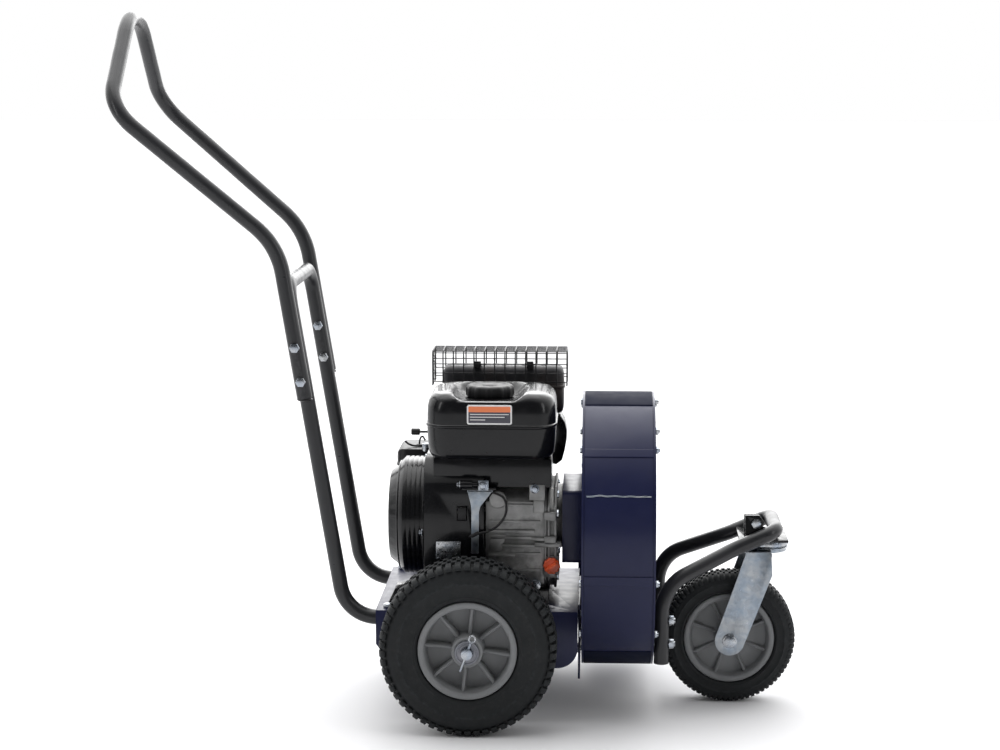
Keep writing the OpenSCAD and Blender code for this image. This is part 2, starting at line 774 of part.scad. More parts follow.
module engine_shroud() color(gloss_black) difference() {
    along_x(shroud_x, shroud_front_x - shroud_x) shroud_outline(0);
    along_x(shroud_x + 2, shroud_front_x - shroud_x) shroud_outline(-2);
    rod_x(80, shroud_x - 1, shroud_x + 3, 0, crank_z, 96);
    translate([switch_x - 7.2, shroud_near_y - 4, switch_z - 10.2]) cube([14.4, 8, 20.4]);
}

module flywheel() color("#5d6064") difference() {
    union() {
        rod_x(74, -22, -10, 0, crank_z, 96);
        rod_x(28, -32, -10, 0, crank_z);
        for (i = [0:15]) translate([-36, 0, crank_z]) rotate([i * 22.5, 0, 0])
            translate([0, 44, -1.5]) cube([16, 28, 3]);
    }
    rod_x(shaft_r, -60, 0, 0, crank_z);
}

recoil_back_x = -92;

recoil_bevel = 8;
groove_deep = 1.2;

module recoil_groove(x) difference() {
    rod_x(recoil_r + 1, x, x + 2.5, 0, crank_z, 96);
    rod_x(recoil_r - groove_deep, x - 1, x + 4, 0, crank_z, 96);
}

module recoil_cover() color(gloss_black) difference() {
    union() {
        rod_x(recoil_r, recoil_back_x + recoil_bevel, shroud_x - 0.2, 0, crank_z, 96);
        translate([recoil_back_x + recoil_bevel, 0, crank_z]) rotate([0, -90, 0])
            cylinder(r1 = recoil_r, r2 = recoil_r - recoil_bevel, h = recoil_bevel, $fn = 96);
        translate([recoil_back_x, 0, crank_z]) rotate([0, -90, 0])
            cylinder(r1 = 77, r2 = 66, h = 14, $fn = 96);
    }
    rod_x(recoil_r - 3.5, recoil_back_x + recoil_bevel + 2, shroud_x + 1, 0, crank_z, 96);
    rod_x(recoil_r - recoil_bevel - 4, recoil_back_x + 3, recoil_back_x + 14, 0, crank_z, 96);
    rod_x(62, recoil_back_x - 11, recoil_back_x + 4, 0, crank_z, 96);
    for (x = [recoil_back_x + 13:7:shroud_x - 6]) recoil_groove(x);
    for (i = [0:23]) translate([recoil_back_x - 15, 0, crank_z]) rotate([i * 15, 0, 0])
        translate([0, 22, -2.5]) cube([6, 34, 5]);
}

pull_at = [-72, 104, crank_z - 16];

module pull_handle() color(gloss_black) {
    rod_y(5, recoil_r + 2, pull_at[1], pull_at[0], pull_at[2]);
    rod_x(8, pull_at[0] - 20, pull_at[0] + 20, pull_at[1], pull_at[2]);
}

// ---- fuel and air ----

tank_x = -47;
tank_low = [tank_x, -125, 383];
tank_high = [tank_x + tank_l, 35, 482];
cap_at = [44, -42];
dish_r = fuel_cap_r + 18;

module fuel_tank() color(gloss_black) difference() {
    intersection() {
        along_y(tank_low[1], tank_high[1] - tank_low[1])
            round_rect([tank_low[0], tank_low[2]], [tank_high[0], tank_high[2]], 28);
        translate([0, 0, tank_low[2]]) linear_extrude(tank_high[2] - tank_low[2])
            round_rect([tank_low[0], tank_low[1]], [tank_high[0], tank_high[1]], 32);
    }
    intersection() {
        along_y(tank_low[1] + 3, tank_high[1] - tank_low[1] - 6)
            round_rect([tank_low[0] + 3, tank_low[2] + 3], [tank_high[0] - 3, tank_high[2] - 18], 25);
        translate([0, 0, tank_low[2]]) linear_extrude(tank_high[2] - tank_low[2])
            round_rect([tank_low[0] + 3, tank_low[1] + 3], [tank_high[0] - 3, tank_high[1] - 3], 29);
    }
    rod_z(dish_r, tank_high[2] - 14, tank_high[2] + 1, cap_at[0], cap_at[1], 96);
    rod_z(20.05, tank_high[2] - 30, tank_high[2], cap_at[0], cap_at[1]);
}

module fuel_cap() color(gloss_black) difference() {
    union() {
        rod_z(fuel_cap_r, tank_high[2] - 13.7, tank_high[2] + 3.5, cap_at[0], cap_at[1], 96);
        rod_z(20, tank_high[2] - 26, tank_high[2] - 13, cap_at[0], cap_at[1]);
    }
    for (i = [0:11]) translate([cap_at[0], cap_at[1], tank_high[2] - 8]) rotate([0, 0, i * 30])
        translate([fuel_cap_r + 2, 0, 0]) cylinder(r = 5, h = 30, $fn = 24);
}

module tank_bracket() color(gloss_black) difference() {
    translate([-36, -98, 341]) cube([172, 118, 41.5]);
    translate([-32, -94, 340]) cube([164, 110, 39]);
    along_x(shroud_x - 1, shroud_front_x - shroud_x + 1.4) shroud_outline(0.4);
}

intake_at = [150, 323];

module carburetor() color(aluminium) {
    translate([2, 128, 300]) cube([38, 44, 46]);
    rod_z(20, 276, 300, 21, 150);
    rod_x(13.5, filter_high[0] - 3, 2, intake_at[0], intake_at[1]);
    rod_x(12, 40, 43.9, intake_at[0], intake_at[1]);
}

filter_low = [-108, 102, 290];
filter_high = [-6, 190, 361];
filter_wall = 4;

module air_filter_box() color(gloss_black) difference() {
    intersection() {
        along_y(filter_low[1], filter_high[1] - filter_low[1])
            round_rect([filter_low[0], filter_low[2]], [filter_high[0], filter_high[2]], 10);
        translate([0, 0, filter_low[2]]) linear_extrude(filter_high[2] - filter_low[2])
            round_rect([filter_low[0], filter_low[1]], [filter_high[0], filter_high[1]], 16);
    }
    translate(filter_low + filter_wall * [1, 1, 1])
        cube(filter_high - filter_low - 2 * filter_wall * [1, 1, 1]);
    rod_x(13.6, filter_high[0] - 10, filter_high[0] + 1, intake_at[0], intake_at[1]);
}

muffler_low = [-36, 60, 423];
muffler_high = [153, 116, 496];

module muffler() color("#2b2b30") {
    intersection() {
        along_y(muffler_low[1], muffler_high[1] - muffler_low[1])
            round_rect([muffler_low[0], muffler_low[2]], [muffler_high[0], muffler_high[2]], 14);
        translate([0, 0, muffler_low[2]]) linear_extrude(muffler_high[2] - muffler_low[2])
            round_rect([muffler_low[0], muffler_low[1]], [muffler_high[0], muffler_high[1]], 14);
    }
    rod_z(14, 363, muffler_low[2] + 9, 83, 104);
}

guard_low = [-49, 56, 468];
guard_high = [157, 120, 521.5];
guard_cell = 24;
guard_bar = 3;
guard_x = [for (x = [guard_low[0] + 5:guard_cell:guard_high[0] - guard_cell]) x];
guard_y = [guard_low[1] + 5, guard_low[1] + 34];
guard_z = [guard_low[2] - 1, guard_low[2] + 19, guard_low[2] + 36];

// Sheet cage over the muffler, with windows between its bars.
module muffler_guard() color(gloss_black) difference() {
    translate(guard_low) cube(guard_high - guard_low);
    translate(guard_low + [2, 2, -1]) cube(guard_high - guard_low - [4, 4, 1]);
    for (x = guard_x) {
        for (z = guard_z) translate([x, guard_low[1] - 1, z]) cube([guard_cell - guard_bar, 70, 14]);
        for (y = guard_y) translate([x, y, guard_high[2] - 3]) cube([guard_cell - guard_bar, 25, 5]);
    }
    for (y = guard_y, z = guard_z) translate([guard_low[0] - 1, y, z]) cube([220, 25, 14]);
}

module oil_dipstick() color(orange) translate([dipstick_at[0], 0, dipstick_at[2]]) {
    rod_y(8, dipstick_at[1] - 5, dipstick_at[1] + 20);
    rod_y(12, dipstick_at[1] - 10, dipstick_at[1] - 4 - eps);
    translate([-11, dipstick_at[1] - 24, -2.5]) cube([22, 15, 5]);
}

module drain_plug() color(zinc) {
    rod_y(8, -98, -88, drain_at[0], drain_at[1]);
    translate([drain_at[0], -98, drain_at[1]]) rotate([90, 0, 0]) cylinder(r = 8, h = 7, $fn = 6);
}

module throttle_lever() color(zinc) {
    rod_z(6, filter_high[2] + 0.3, filter_high[2] + 5, -60, 128);
    translate([-66, 88, filter_high[2] + 2]) cube([12, 40, 2.5]);
    rod_z(7, filter_high[2] + 0.3, filter_high[2] + 12, -60, 88);
}

module engine_switch() color(charcoal) {
    rod_x(3, switch_x - 6.9, switch_x + 6.9, shroud_near_y, switch_z);
    translate([switch_x - 6, shroud_near_y - 3.5, switch_z - 9]) cube([12, 7, 18]);
}

module engine_base_bolts() color(zinc) for (x = engine_bolt_x, y = engine_bolt_y) {
    rod_z(4, deck_z - 12, deck_z + 12, x, y);
    translate([x, y, deck_z + 12]) cylinder(r = 7.4, h = 5, $fn = 6);
    translate([x, y, deck_z - 10]) cylinder(r = 7.4, h = 7, $fn = 6);
}

base_frame();
fan_support_plate();
rear_riser();
lower_handle();
upper_handle();
handle_bolts();
handle_frame_bolts();
rear_axle();
axle_spacers();
axle_split_pins();
wheel_left_tyre();
wheel_left_rim();
wheel_left_bushes();
wheel_right_tyre();
wheel_right_rim();
wheel_right_bushes();
caster_bracket();
caster_bracket_bolts();
caster_mount();
caster_mount_bolt();
caster_kingpin();
swivel_balls();
caster_fork();
caster_axle();
caster_tyre();
caster_rim();
fan_back_plate();
fan_scroll();
fan_front_plate();
fan_mount_bolts();
intake_guard();
outlet_flange();
housing_bolts();
impeller();
impeller_bolt();
engine_adapter();
crankcase();
crankcase_side_cover();
crankcase_bolts();
crankshaft();
cylinder_block();
cylinder_head();
spark_plug();
engine_shroud();
flywheel();
recoil_cover();
pull_handle();
fuel_tank();
fuel_cap();
tank_bracket();
carburetor();
air_filter_box();
muffler();
muffler_guard();
oil_dipstick();
drain_plug();
throttle_lever();
engine_switch();
engine_base_bolts();
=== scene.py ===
"""Looks of the walk-behind leaf blower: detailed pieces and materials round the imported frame."""
import math
from itertools import product

import bmesh
import bpy
from mathutils import Matrix, Vector, noise


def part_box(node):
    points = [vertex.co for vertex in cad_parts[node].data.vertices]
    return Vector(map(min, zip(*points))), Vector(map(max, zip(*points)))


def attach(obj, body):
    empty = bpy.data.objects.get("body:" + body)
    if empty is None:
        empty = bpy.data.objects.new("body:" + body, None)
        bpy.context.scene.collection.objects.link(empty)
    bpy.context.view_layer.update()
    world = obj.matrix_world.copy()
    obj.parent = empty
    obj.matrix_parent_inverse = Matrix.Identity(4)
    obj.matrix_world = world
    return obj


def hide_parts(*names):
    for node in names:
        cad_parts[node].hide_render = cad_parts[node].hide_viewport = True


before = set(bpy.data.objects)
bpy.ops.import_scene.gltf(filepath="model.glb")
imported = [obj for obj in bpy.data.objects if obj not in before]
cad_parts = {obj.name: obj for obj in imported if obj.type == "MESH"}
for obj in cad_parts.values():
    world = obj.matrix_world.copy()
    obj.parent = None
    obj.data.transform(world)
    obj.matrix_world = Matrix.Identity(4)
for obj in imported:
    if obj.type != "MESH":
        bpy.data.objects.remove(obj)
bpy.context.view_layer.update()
scene = bpy.context.scene
MM = 0.001
TURN = 2 * math.pi
SHARP = math.radians(38)     # edges sharper than this are rounded and shaded as edges
SHAFT = (0, 0, 280)          # the engine's shaft, which runs along X, in mm


# ---- camera, floor and light ----

def add_camera():
    """The photograph's viewpoint: handle height, looking slightly down at the right side."""
    tilt, turn = 8.064, 2.531    # degrees down from level, and round to the left
    camera = bpy.data.cameras.new("camera")
    camera.sensor_width = 36
    camera.lens = 81.27
    holder = bpy.data.objects.new("camera", camera)
    holder.location = (0.2043, -3.3349, 0.9654)
    holder.rotation_euler = (math.radians(90 - tilt), 0, math.radians(turn))
    scene.collection.objects.link(holder)
    scene.camera = holder


def add_floor():
    """Plain pale floor under the wheels."""
    mesh = bpy.data.meshes.new("floor")
    size = 30
    corners = [(-size, -size, 0), (size, -size, 0), (size, size, 0), (-size, size, 0)]
    mesh.from_pydata(corners, [], [(0, 1, 2, 3)])
    look = Look("floor_paper", roughness=0.9)
    look.colour(look.mix(look.noise(900), (0.68, 0.68, 0.69, 1), (0.72, 0.72, 0.73, 1)))
    mesh.materials.append(look.material)
    floor = bpy.data.objects.new("floor", mesh)
    scene.collection.objects.link(floor)


def add_light(name, place, target, size, power):
    """A soft rectangular lamp that faces its target."""
    lamp = bpy.data.lights.new(name, "AREA")
    lamp.shape = "RECTANGLE"
    lamp.size, lamp.size_y = size
    lamp.energy = power
    holder = bpy.data.objects.new(name, lamp)
    holder.location = place
    holder.rotation_euler = (Vector(target) - Vector(place)).to_track_quat("-Z", "Y").to_euler()
    scene.collection.objects.link(holder)


def add_lights():
    """White backdrop that is bright behind and above the machine and dim on the camera's side."""
    world = bpy.data.worlds.new("studio")
    world.use_nodes = True
    tree = world.node_tree
    new, link = tree.nodes.new, tree.links.new
    place = new("ShaderNodeTexCoord").outputs["Generated"]
    facing = new("ShaderNodeVectorMath")
    facing.operation = "DOT_PRODUCT"
    facing.inputs[1].default_value = (0, 0.8, 0.5)
    link(place, facing.inputs[0])
    glow = new("ShaderNodeMapRange")
    link(facing.outputs["Value"], glow.inputs["Value"])
    for name, value in (("From Min", -0.2), ("From Max", 0.9), ("To Min", 0.12), ("To Max", 3.0)):
        glow.inputs[name].default_value = value
    seen = new("ShaderNodeMix")
    link(new("ShaderNodeLightPath").outputs["Is Camera Ray"], seen.inputs[0])
    link(glow.outputs["Result"], seen.inputs[2])
    seen.inputs[3].default_value = 1.0
    background = tree.nodes["Background"]
    background.inputs["Color"].default_value = (1, 1, 1, 1)
    link(seen.outputs[0], background.inputs["Strength"])
    scene.world = world
    add_light("top_box", (-0.2, 0.3, 2.6), (0, 0, 0.3), (2.6, 1.6), 18)
    add_light("left_box", (-2.2, -1.6, 1.5), (0, 0, 0.35), (0.4, 1.6), 10)
    add_light("right_box", (2.4, -1.4, 1.3), (0.1, 0, 0.35), (0.4, 1.5), 9)
    add_light("back_box", (0.3, 2.6, 1.8), (0, 0, 0.4), (2.4, 1.4), 30)


# ---- materials ----

class Look:
    """A procedural material: one principled shader, fed by node chains on object coordinates."""

    def __init__(self, name, roughness, metallic=0.0, coat=0.0, specular=0.5):
        self.material = bpy.data.materials.new(name)
        self.material.use_nodes = True
        self.tree = self.material.node_tree
        self.shader = self.tree.nodes["Principled BSDF"]
        self.shader.inputs["Roughness"].default_value = roughness
        self.shader.inputs["Metallic"].default_value = metallic
        self.shader.inputs["Coat Weight"].default_value = coat
        self.shader.inputs["Coat Roughness"].default_value = 0.07
        self.shader.inputs["Specular IOR Level"].default_value = specular
        self.place = self.node("ShaderNodeTexCoord").outputs["Object"]
        self.bumped = None

    def node(self, kind, feeds=None, **settings):
        """A new node, with its settings made and its inputs fed."""
        made = self.tree.nodes.new(kind)
        for key, value in settings.items():
            setattr(made, key, value)
        for key, value in (feeds or {}).items():
            self.feed(made.inputs[key], value)
        return made

    def feed(self, socket, value):
        """Links an output to a socket, or sets the socket to a plain value."""
        if isinstance(value, bpy.types.NodeSocket):
            self.tree.links.new(value, socket)
        else:
            socket.default_value = value

    def noise(self, size_mm, detail=3.0, stretch=(1, 1, 1)):
        """Noise from 0 to 1 whose features are about size_mm across, stretched along an axis."""
        place = self.node("ShaderNodeMapping", {"Vector": self.place, "Scale": stretch}).outputs[0]
        feeds = {"Vector": place, "Scale": 1000 / size_mm, "Detail": detail}
        return self.node("ShaderNodeTexNoise", feeds).outputs[0]

    def cells(self, size_mm):
        """A random shade for each crystal-like cell."""
        feeds = {"Vector": self.place, "Scale": 1000 / size_mm}
        colour = self.node("ShaderNodeTexVoronoi", feeds).outputs["Color"]
        return self.node("ShaderNodeSeparateColor", {"Color": colour}).outputs[0]

    def span(self, value, low, high, start=0.0, end=1.0):
        """The value remapped from low-high to start-end, and held there outside it."""
        feeds = {"Value": value, "From Min": low, "From Max": high, "To Min": start, "To Max": end}
        return self.node("ShaderNodeMapRange", feeds).outputs["Result"]

    def times(self, a, b):
        made = self.node("ShaderNodeMath", operation="MULTIPLY")
        self.feed(made.inputs[0], a)
        self.feed(made.inputs[1], b)
        return made.outputs[0]

    def mix(self, factor, a, b):
        made = self.node("ShaderNodeMix", data_type="RGBA")
        self.feed(made.inputs[0], factor)
        self.feed(made.inputs[6], a)
        self.feed(made.inputs[7], b)
        return made.outputs[2]

    def edges(self, low=0.53, high=0.62):
        """1 on convex edges that would wear, broken up by noise."""
        sharp = self.node("ShaderNodeNewGeometry").outputs["Pointiness"]
        return self.times(self.span(sharp, low, high), self.span(self.noise(7), 0.42, 0.62))

    def upward(self):
        """1 where the surface faces up, so that dust can settle there."""
        normal = self.node("ShaderNodeNewGeometry").outputs["Normal"]
        height = self.node("ShaderNodeSeparateXYZ", {"Vector": normal}).outputs["Z"]
        return self.span(height, 0.6, 0.98)

    def colour(self, value):
        self.feed(self.shader.inputs["Base Color"], value)

    def roughness(self, value):
        self.feed(self.shader.inputs["Roughness"], value)

    def bump(self, height, depth_mm, strength=1.0):
        """Adds relief on top of any relief the look already has."""
        feeds = {"Height": height, "Distance": depth_mm * MM, "Strength": strength}
        if self.bumped:
            feeds["Normal"] = self.bumped
        self.bumped = self.node("ShaderNodeBump", feeds).outputs["Normal"]
        self.feed(self.shader.inputs["Normal"], self.bumped)


def shade(colour, factor):
    """An RGBA colour, lighter or darker by a factor."""
    return tuple(part * factor for part in colour) + (1,)


def painted(name, colour, roughness, peel=0.03, wear=0.12, coat=0.3, dust=0.03, specular=0.4):
    """Powder coat or enamel: orange peel, faint mottling, dust on top and rubbed edges."""
    look = Look(name, roughness, coat=coat, specular=specular)
    base = look.mix(look.noise(45, 4), shade(colour, 0.88), shade(colour, 1.12))
    speck = look.span(look.noise(1.3, 2), 0.35, 0.75)
    base = look.mix(look.times(speck, 0.1), base, shade(colour, 1.6))
    settled = look.times(look.times(look.upward(), look.noise(25, 5)), dust)
    base = look.mix(settled, base, (0.34, 0.33, 0.31, 1))
    look.colour(look.mix(look.times(look.edges(0.56, 0.68), wear), base, (0.2, 0.2, 0.21, 1)))
    look.roughness(look.span(look.noise(18, 4), 0.25, 0.75, roughness - 0.06, roughness + 0.09))
    look.bump(look.noise(2.6, 2), peel)
    look.bump(look.noise(0.7, 1), peel * 0.3)
    return look.material


def moulded(name, colour, roughness, grain=0.05, specular=0.5):
    """Moulded plastic: a fine even grain, flow marks and slight fading."""
    look = Look(name, roughness, specular=specular)
    flow = look.noise(30, 3, (1, 1, 0.35))
    base = look.mix(flow, shade(colour, 0.84), shade(colour, 1.18))
    settled = look.times(look.times(look.upward(), look.noise(14, 5)), 0.12)
    base = look.mix(settled, base, (0.36, 0.35, 0.33, 1))
    look.colour(look.mix(look.times(look.edges(), 0.35), base, shade(colour, 2.0)))
    look.roughness(look.span(look.noise(9, 4), 0.2, 0.8, roughness - 0.07, roughness + 0.1))
    look.bump(look.noise(0.9, 2), grain)
    look.bump(look.noise(9, 2), grain)
    return look.material


def plated(name, colour, cool, roughness, spangle=0, brushed=(1, 1, 1)):
    """Zinc plate: bright metal with a blue and straw passivation, haze and fine scratches."""
    look = Look(name, roughness, metallic=1.0)
    tint = look.span(look.noise(16, 3), 0.35, 0.65)
    base = look.mix(tint, colour + (1,), cool + (1,))
    if spangle:
        base = look.mix(look.times(look.cells(spangle), 0.4), base, shade(colour, 0.62))
    grime = look.times(look.span(look.noise(8, 5), 0.5, 0.8), 0.5)
    base = look.mix(grime, base, shade(colour, 0.5))
    look.colour(base)
    haze = look.noise(5, 4, brushed)
    look.roughness(look.span(haze, 0.25, 0.75, roughness - 0.1, roughness + 0.14))
    look.bump(look.noise(1.0, 3, brushed), 0.02)
    return look.material


def cast(name, colour, roughness, grain=0.16):
    """Die-cast aluminium: sandy grain, grey oxide, oily grime, and darker towards the bottom."""
    look = Look(name, roughness, metallic=0.72)
    base = look.mix(look.noise(22, 5), shade(colour, 0.74), shade(colour, 1.2))
    grime = look.times(look.span(look.noise(40, 5), 0.48, 0.72), 0.55)
    base = look.mix(grime, base, (0.068, 0.068, 0.067, 1))
    # darker towards the bottom: below about 0.27 m high the colour goes darker, in patches
    height = look.node("ShaderNodeSeparateXYZ", {"Vector": look.place}).outputs["Z"]
    patchy = look.span(look.noise(15, 4), 0.3, 0.6)
    darker_towards_bottom = look.times(look.span(height, 0.19, 0.27, 0.6, 0.0), patchy)
    base = look.mix(darker_towards_bottom, base, (0.045, 0.043, 0.04, 1))
    look.colour(look.mix(look.times(look.edges(0.56, 0.68), 0.4), base, shade(colour, 1.5)))
    look.roughness(look.span(look.noise(4, 4), 0.25, 0.75, roughness - 0.08, roughness + 0.1))
    look.bump(look.noise(1.1, 3), grain)
    look.bump(look.noise(14, 2), grain * 1.5)
    return look.material


def rubber(name, colour):
    """Tyre rubber: dull, slightly dusty, with mould marks round the sidewall."""
    look = Look(name, 0.62, specular=0.22)
    base = look.mix(look.noise(35, 5), shade(colour, 0.8), shade(colour, 1.35))
    dust = look.times(look.span(look.noise(6, 5), 0.52, 0.78), 0.1)
    base = look.mix(dust, base, (0.085, 0.08, 0.074, 1))
    look.colour(look.mix(look.times(look.edges(0.54, 0.66), 0.5), base, shade(colour, 2.6)))
    look.roughness(look.span(look.noise(12, 4), 0.2, 0.8, 0.5, 0.74))
    look.bump(look.noise(0.8, 2), 0.06)
    look.bump(look.noise(18, 3), 0.12)
    return look.material


def heat_paint(name, colour):
    """Heat-resistant paint on the muffler: satin, with a brown bloom where it runs hottest."""
    look = Look(name, 0.5, specular=0.4)
    base = look.mix(look.noise(20, 4), shade(colour, 0.8), shade(colour, 1.3))
    bloom = look.times(look.span(look.noise(55, 4), 0.5, 0.72), 0.35)
    base = look.mix(bloom, base, (0.075, 0.048, 0.036, 1))
    look.colour(look.mix(look.times(look.edges(), 0.4), base, (0.16, 0.14, 0.13, 1)))
    look.roughness(look.span(look.noise(8, 4), 0.25, 0.75, 0.42, 0.62))
    look.bump(look.noise(1.0, 3), 0.05)
    return look.material


def printed(name, colour, line=(0.5, 0.5, 0.5), roughness=0.35):
    """Printed foil: flat ink with a faint halftone and scuffs."""
    look = Look(name, roughness, coat=0.4)
    base = look.mix(look.noise(0.6, 1), shade(colour, 0.93), shade(colour, 1.06))
    scuff = look.times(look.span(look.noise(3, 5), 0.6, 0.8), 0.25)
    look.colour(look.mix(scuff, base, line + (1,)))
    look.roughness(look.span(look.noise(5, 3), 0.2, 0.8, roughness - 0.08, roughness + 0.1))
    look.bump(look.noise(4, 2), 0.02)
    return look.material


def make_looks():
    silver, cool = (0.40, 0.41, 0.42), (0.31, 0.35, 0.41)
    return {
        "navy_paint": painted("navy_paint", (0.0105, 0.013, 0.044), 0.34, coat=0.06, specular=0.2),
        # darker navy with almost no sheen: painted shade for the strips at the housing's top and
        # bottom
        "navy_painted_shade": painted("navy_painted_shade", (0.0105, 0.0125, 0.026), 0.6, coat=0.0, specular=0.02),
        "charcoal_paint": painted("charcoal_paint", (0.019, 0.0195, 0.0215), 0.32, coat=0.1,
                                  specular=0.3),
        "black_gloss": painted("black_gloss", (0.0045, 0.0048, 0.0058), 0.2, 0.01, wear=0.0,
                               coat=0.1, dust=0.01, specular=0.25),
        "black_plastic": moulded("black_plastic", (0.007, 0.007, 0.008), 0.44, specular=0.35),
        "black_wire": painted("black_wire", (0.008, 0.008, 0.009), 0.42, 0.02, coat=0.0,
                              specular=0.3),
        "muffler_black": heat_paint("muffler_black", (0.016, 0.016, 0.019)),
        "zinc": plated("zinc", silver, cool, 0.24),
        "zinc_sheet": plated("zinc_sheet", (0.35, 0.37, 0.39), (0.25, 0.30, 0.36), 0.34, 9),
        "bearing_steel": plated("bearing_steel", (0.55, 0.55, 0.56), silver, 0.16, 0, (1, 8, 8)),
        "tyre_rubber": rubber("tyre_rubber", (0.0105, 0.0118, 0.0128)),
        "rim_grey": moulded("rim_grey", (0.17, 0.175, 0.18), 0.42, 0.04, specular=0.35),
        "cast_aluminium": cast("cast_aluminium", (0.29, 0.29, 0.287), 0.44),
        "fan_steel": plated("fan_steel", (0.22, 0.22, 0.24), (0.16, 0.17, 0.19), 0.4),
        "ceramic": moulded("plug_cap_rubber", (0.016, 0.016, 0.018), 0.5),
        "orange_plastic": moulded("orange_plastic", (0.85, 0.12, 0.035), 0.3, 0.02),
        "label_white": printed("label_white", (0.72, 0.72, 0.72)),
        "label_orange": printed("label_orange", (0.72, 0.17, 0.045), (0.5, 0.2, 0.1)),
        "label_dark": printed("label_dark", (0.03, 0.03, 0.045), (0.12, 0.12, 0.14)),
    }


# ---- mesh tools (everything is built in millimetres) ----

def box_mm(node):
    """Low and high corner of a CAD node's box, in mm."""
    low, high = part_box(node)
    return low / MM, high / MM


def at(axis, centre, u, v, w):
    """A point given across (u, v) and along (w) an axis through a centre."""
    shift = {"x": (w, u, v), "y": (u, w, v), "z": (u, v, w)}[axis]
    return tuple(c + d for c, d in zip(centre, shift))


def turned(bm, axis, centre, outline, steps=64, wave=None):
    """Solid of revolution: outline is a closed list of (radius, place along the axis)."""
    rings = []
    for step in range(steps):
        angle = TURN * step / steps
        grow = wave(angle) if wave else 1
        across, up = grow * math.cos(angle), grow * math.sin(angle)
        rings.append([bm.verts.new(at(axis, centre, r * across, r * up, w)) for r, w in outline])
    for ring, after in zip(rings, rings[1:] + rings[:1]):
        for i in range(len(outline)):
            j = (i + 1) % len(outline)
            bm.faces.new((ring[i], ring[j], after[j], after[i]))


def prism(bm, axis, outline, start, end, shrink=1.0):
    """Outline of (u, v) points swept along an axis; the end may be smaller than the start."""
    mid = [sum(p[k] for p in outline) / len(outline) for k in (0, 1)]
    small = [tuple(m + (c - m) * shrink for c, m in zip(p, mid)) for p in outline]
    near = [bm.verts.new(at(axis, (0, 0, 0), u, v, start)) for u, v in outline]
    far = [bm.verts.new(at(axis, (0, 0, 0), u, v, end)) for u, v in small]
    bridge(bm, near, far)
    bm.faces.new(near)
    bm.faces.new(far)


def bridge(bm, ring, after):
    """Band of faces between two closed rings of equal length."""
    for i in range(len(ring)):
        j = (i + 1) % len(ring)
        bm.faces.new((ring[i], ring[j], after[j], after[i]))


def block(bm, low, high):
    """Box between two opposite corners."""
    prism(bm, "z", [(low[0], low[1]), (high[0], low[1]), (high[0], high[1]), (low[0], high[1])],
          low[2], high[2])


def stack(bm, rings):
    """Skin over closed rings of equal length, capped at both ends."""
    made = [[bm.verts.new(point) for point in ring] for ring in rings]
    for ring, after in zip(made, made[1:]):
        bridge(bm, ring, after)
    bm.faces.new(made[0])
    bm.faces.new(made[-1])


def rounded(low, high, radius, steps=8):
    """Rectangle with round corners, as a closed list of points."""
    points = []
    for quarter, (cx, cy) in enumerate([
        (high[0] - radius, high[1] - radius), (low[0] + radius, high[1] - radius),
        (low[0] + radius, low[1] + radius), (high[0] - radius, low[1] + radius),
    ]):
        for step in range(steps + 1):
            angle = TURN * (quarter + step / steps) / 4
            points.append((cx + radius * math.cos(angle), cy + radius * math.sin(angle)))
    return points


def inset_box(low, high, inset, radius, steps):
    """Round-cornered outline of a node's box seen from above, pulled in on every side."""
    return rounded((low.x + inset, low.y + inset), (high.x - inset, high.y - inset), radius, steps)


def smooth_path(points, steps=8):
    """Points on a smooth curve through the given ones."""
    points = [Vector(point) for point in points]
    ends = [2 * points[0] - points[1]] + points + [2 * points[-1] - points[-2]]
    path = []
    for a, b, c, d in zip(ends, ends[1:], ends[2:], ends[3:]):
        for step in range(steps):
            t = step / steps
            path.append(0.5 * (2 * b + (c - a) * t + (2 * a - 5 * b + 4 * c - d) * t * t
                               + (3 * b - a - 3 * c + d) * t ** 3))
    return path + [points[-1]]


def wire(bm, points, radius, sides=10):
    """Round wire along a path."""
    points = [Vector(point) for point in points]
    ahead = [(b - a).normalized() for a, b in zip(points, points[1:])]
    lines = [ahead[0]] + [(a + b).normalized() for a, b in zip(ahead, ahead[1:])] + [ahead[-1]]
    across = lines[0].orthogonal().normalized()
    rings = []
    for point, line in zip(points, lines):
        across = (across - line * across.dot(line)).normalized()
        up = line.cross(across)
        turns = [TURN * k / sides for k in range(sides)]
        rings.append([point + radius * (across * math.cos(a) + up * math.sin(a)) for a in turns])
    stack(bm, rings)


def hexagon(radius, turn=0.0):
    """Corners of a regular hexagon."""
    angles = [TURN * k / 6 + turn for k in range(6)]
    return [(radius * math.cos(a), radius * math.sin(a)) for a in angles]


def bolt_head(bm, axis, centre, radius, out, height=5, washer=1.35, turn=0.3):
    """Hexagon head on a washer. out is 1 or -1: the way the head faces along its axis."""
    thick = 1.4 * out
    rim = radius * washer
    disc = [(0, 0), (rim, 0), (rim, thick * 0.7), (rim - 0.6, thick), (0, thick)]
    turned(bm, axis, centre, disc, 32)
    levels = [(thick, 1.0), (out * (height - 1), 1.0), (out * height, 0.84)]
    stack(bm, [
        [at(axis, centre, u, v, level) for u, v in hexagon(radius * size, turn)]
        for level, size in levels
    ])


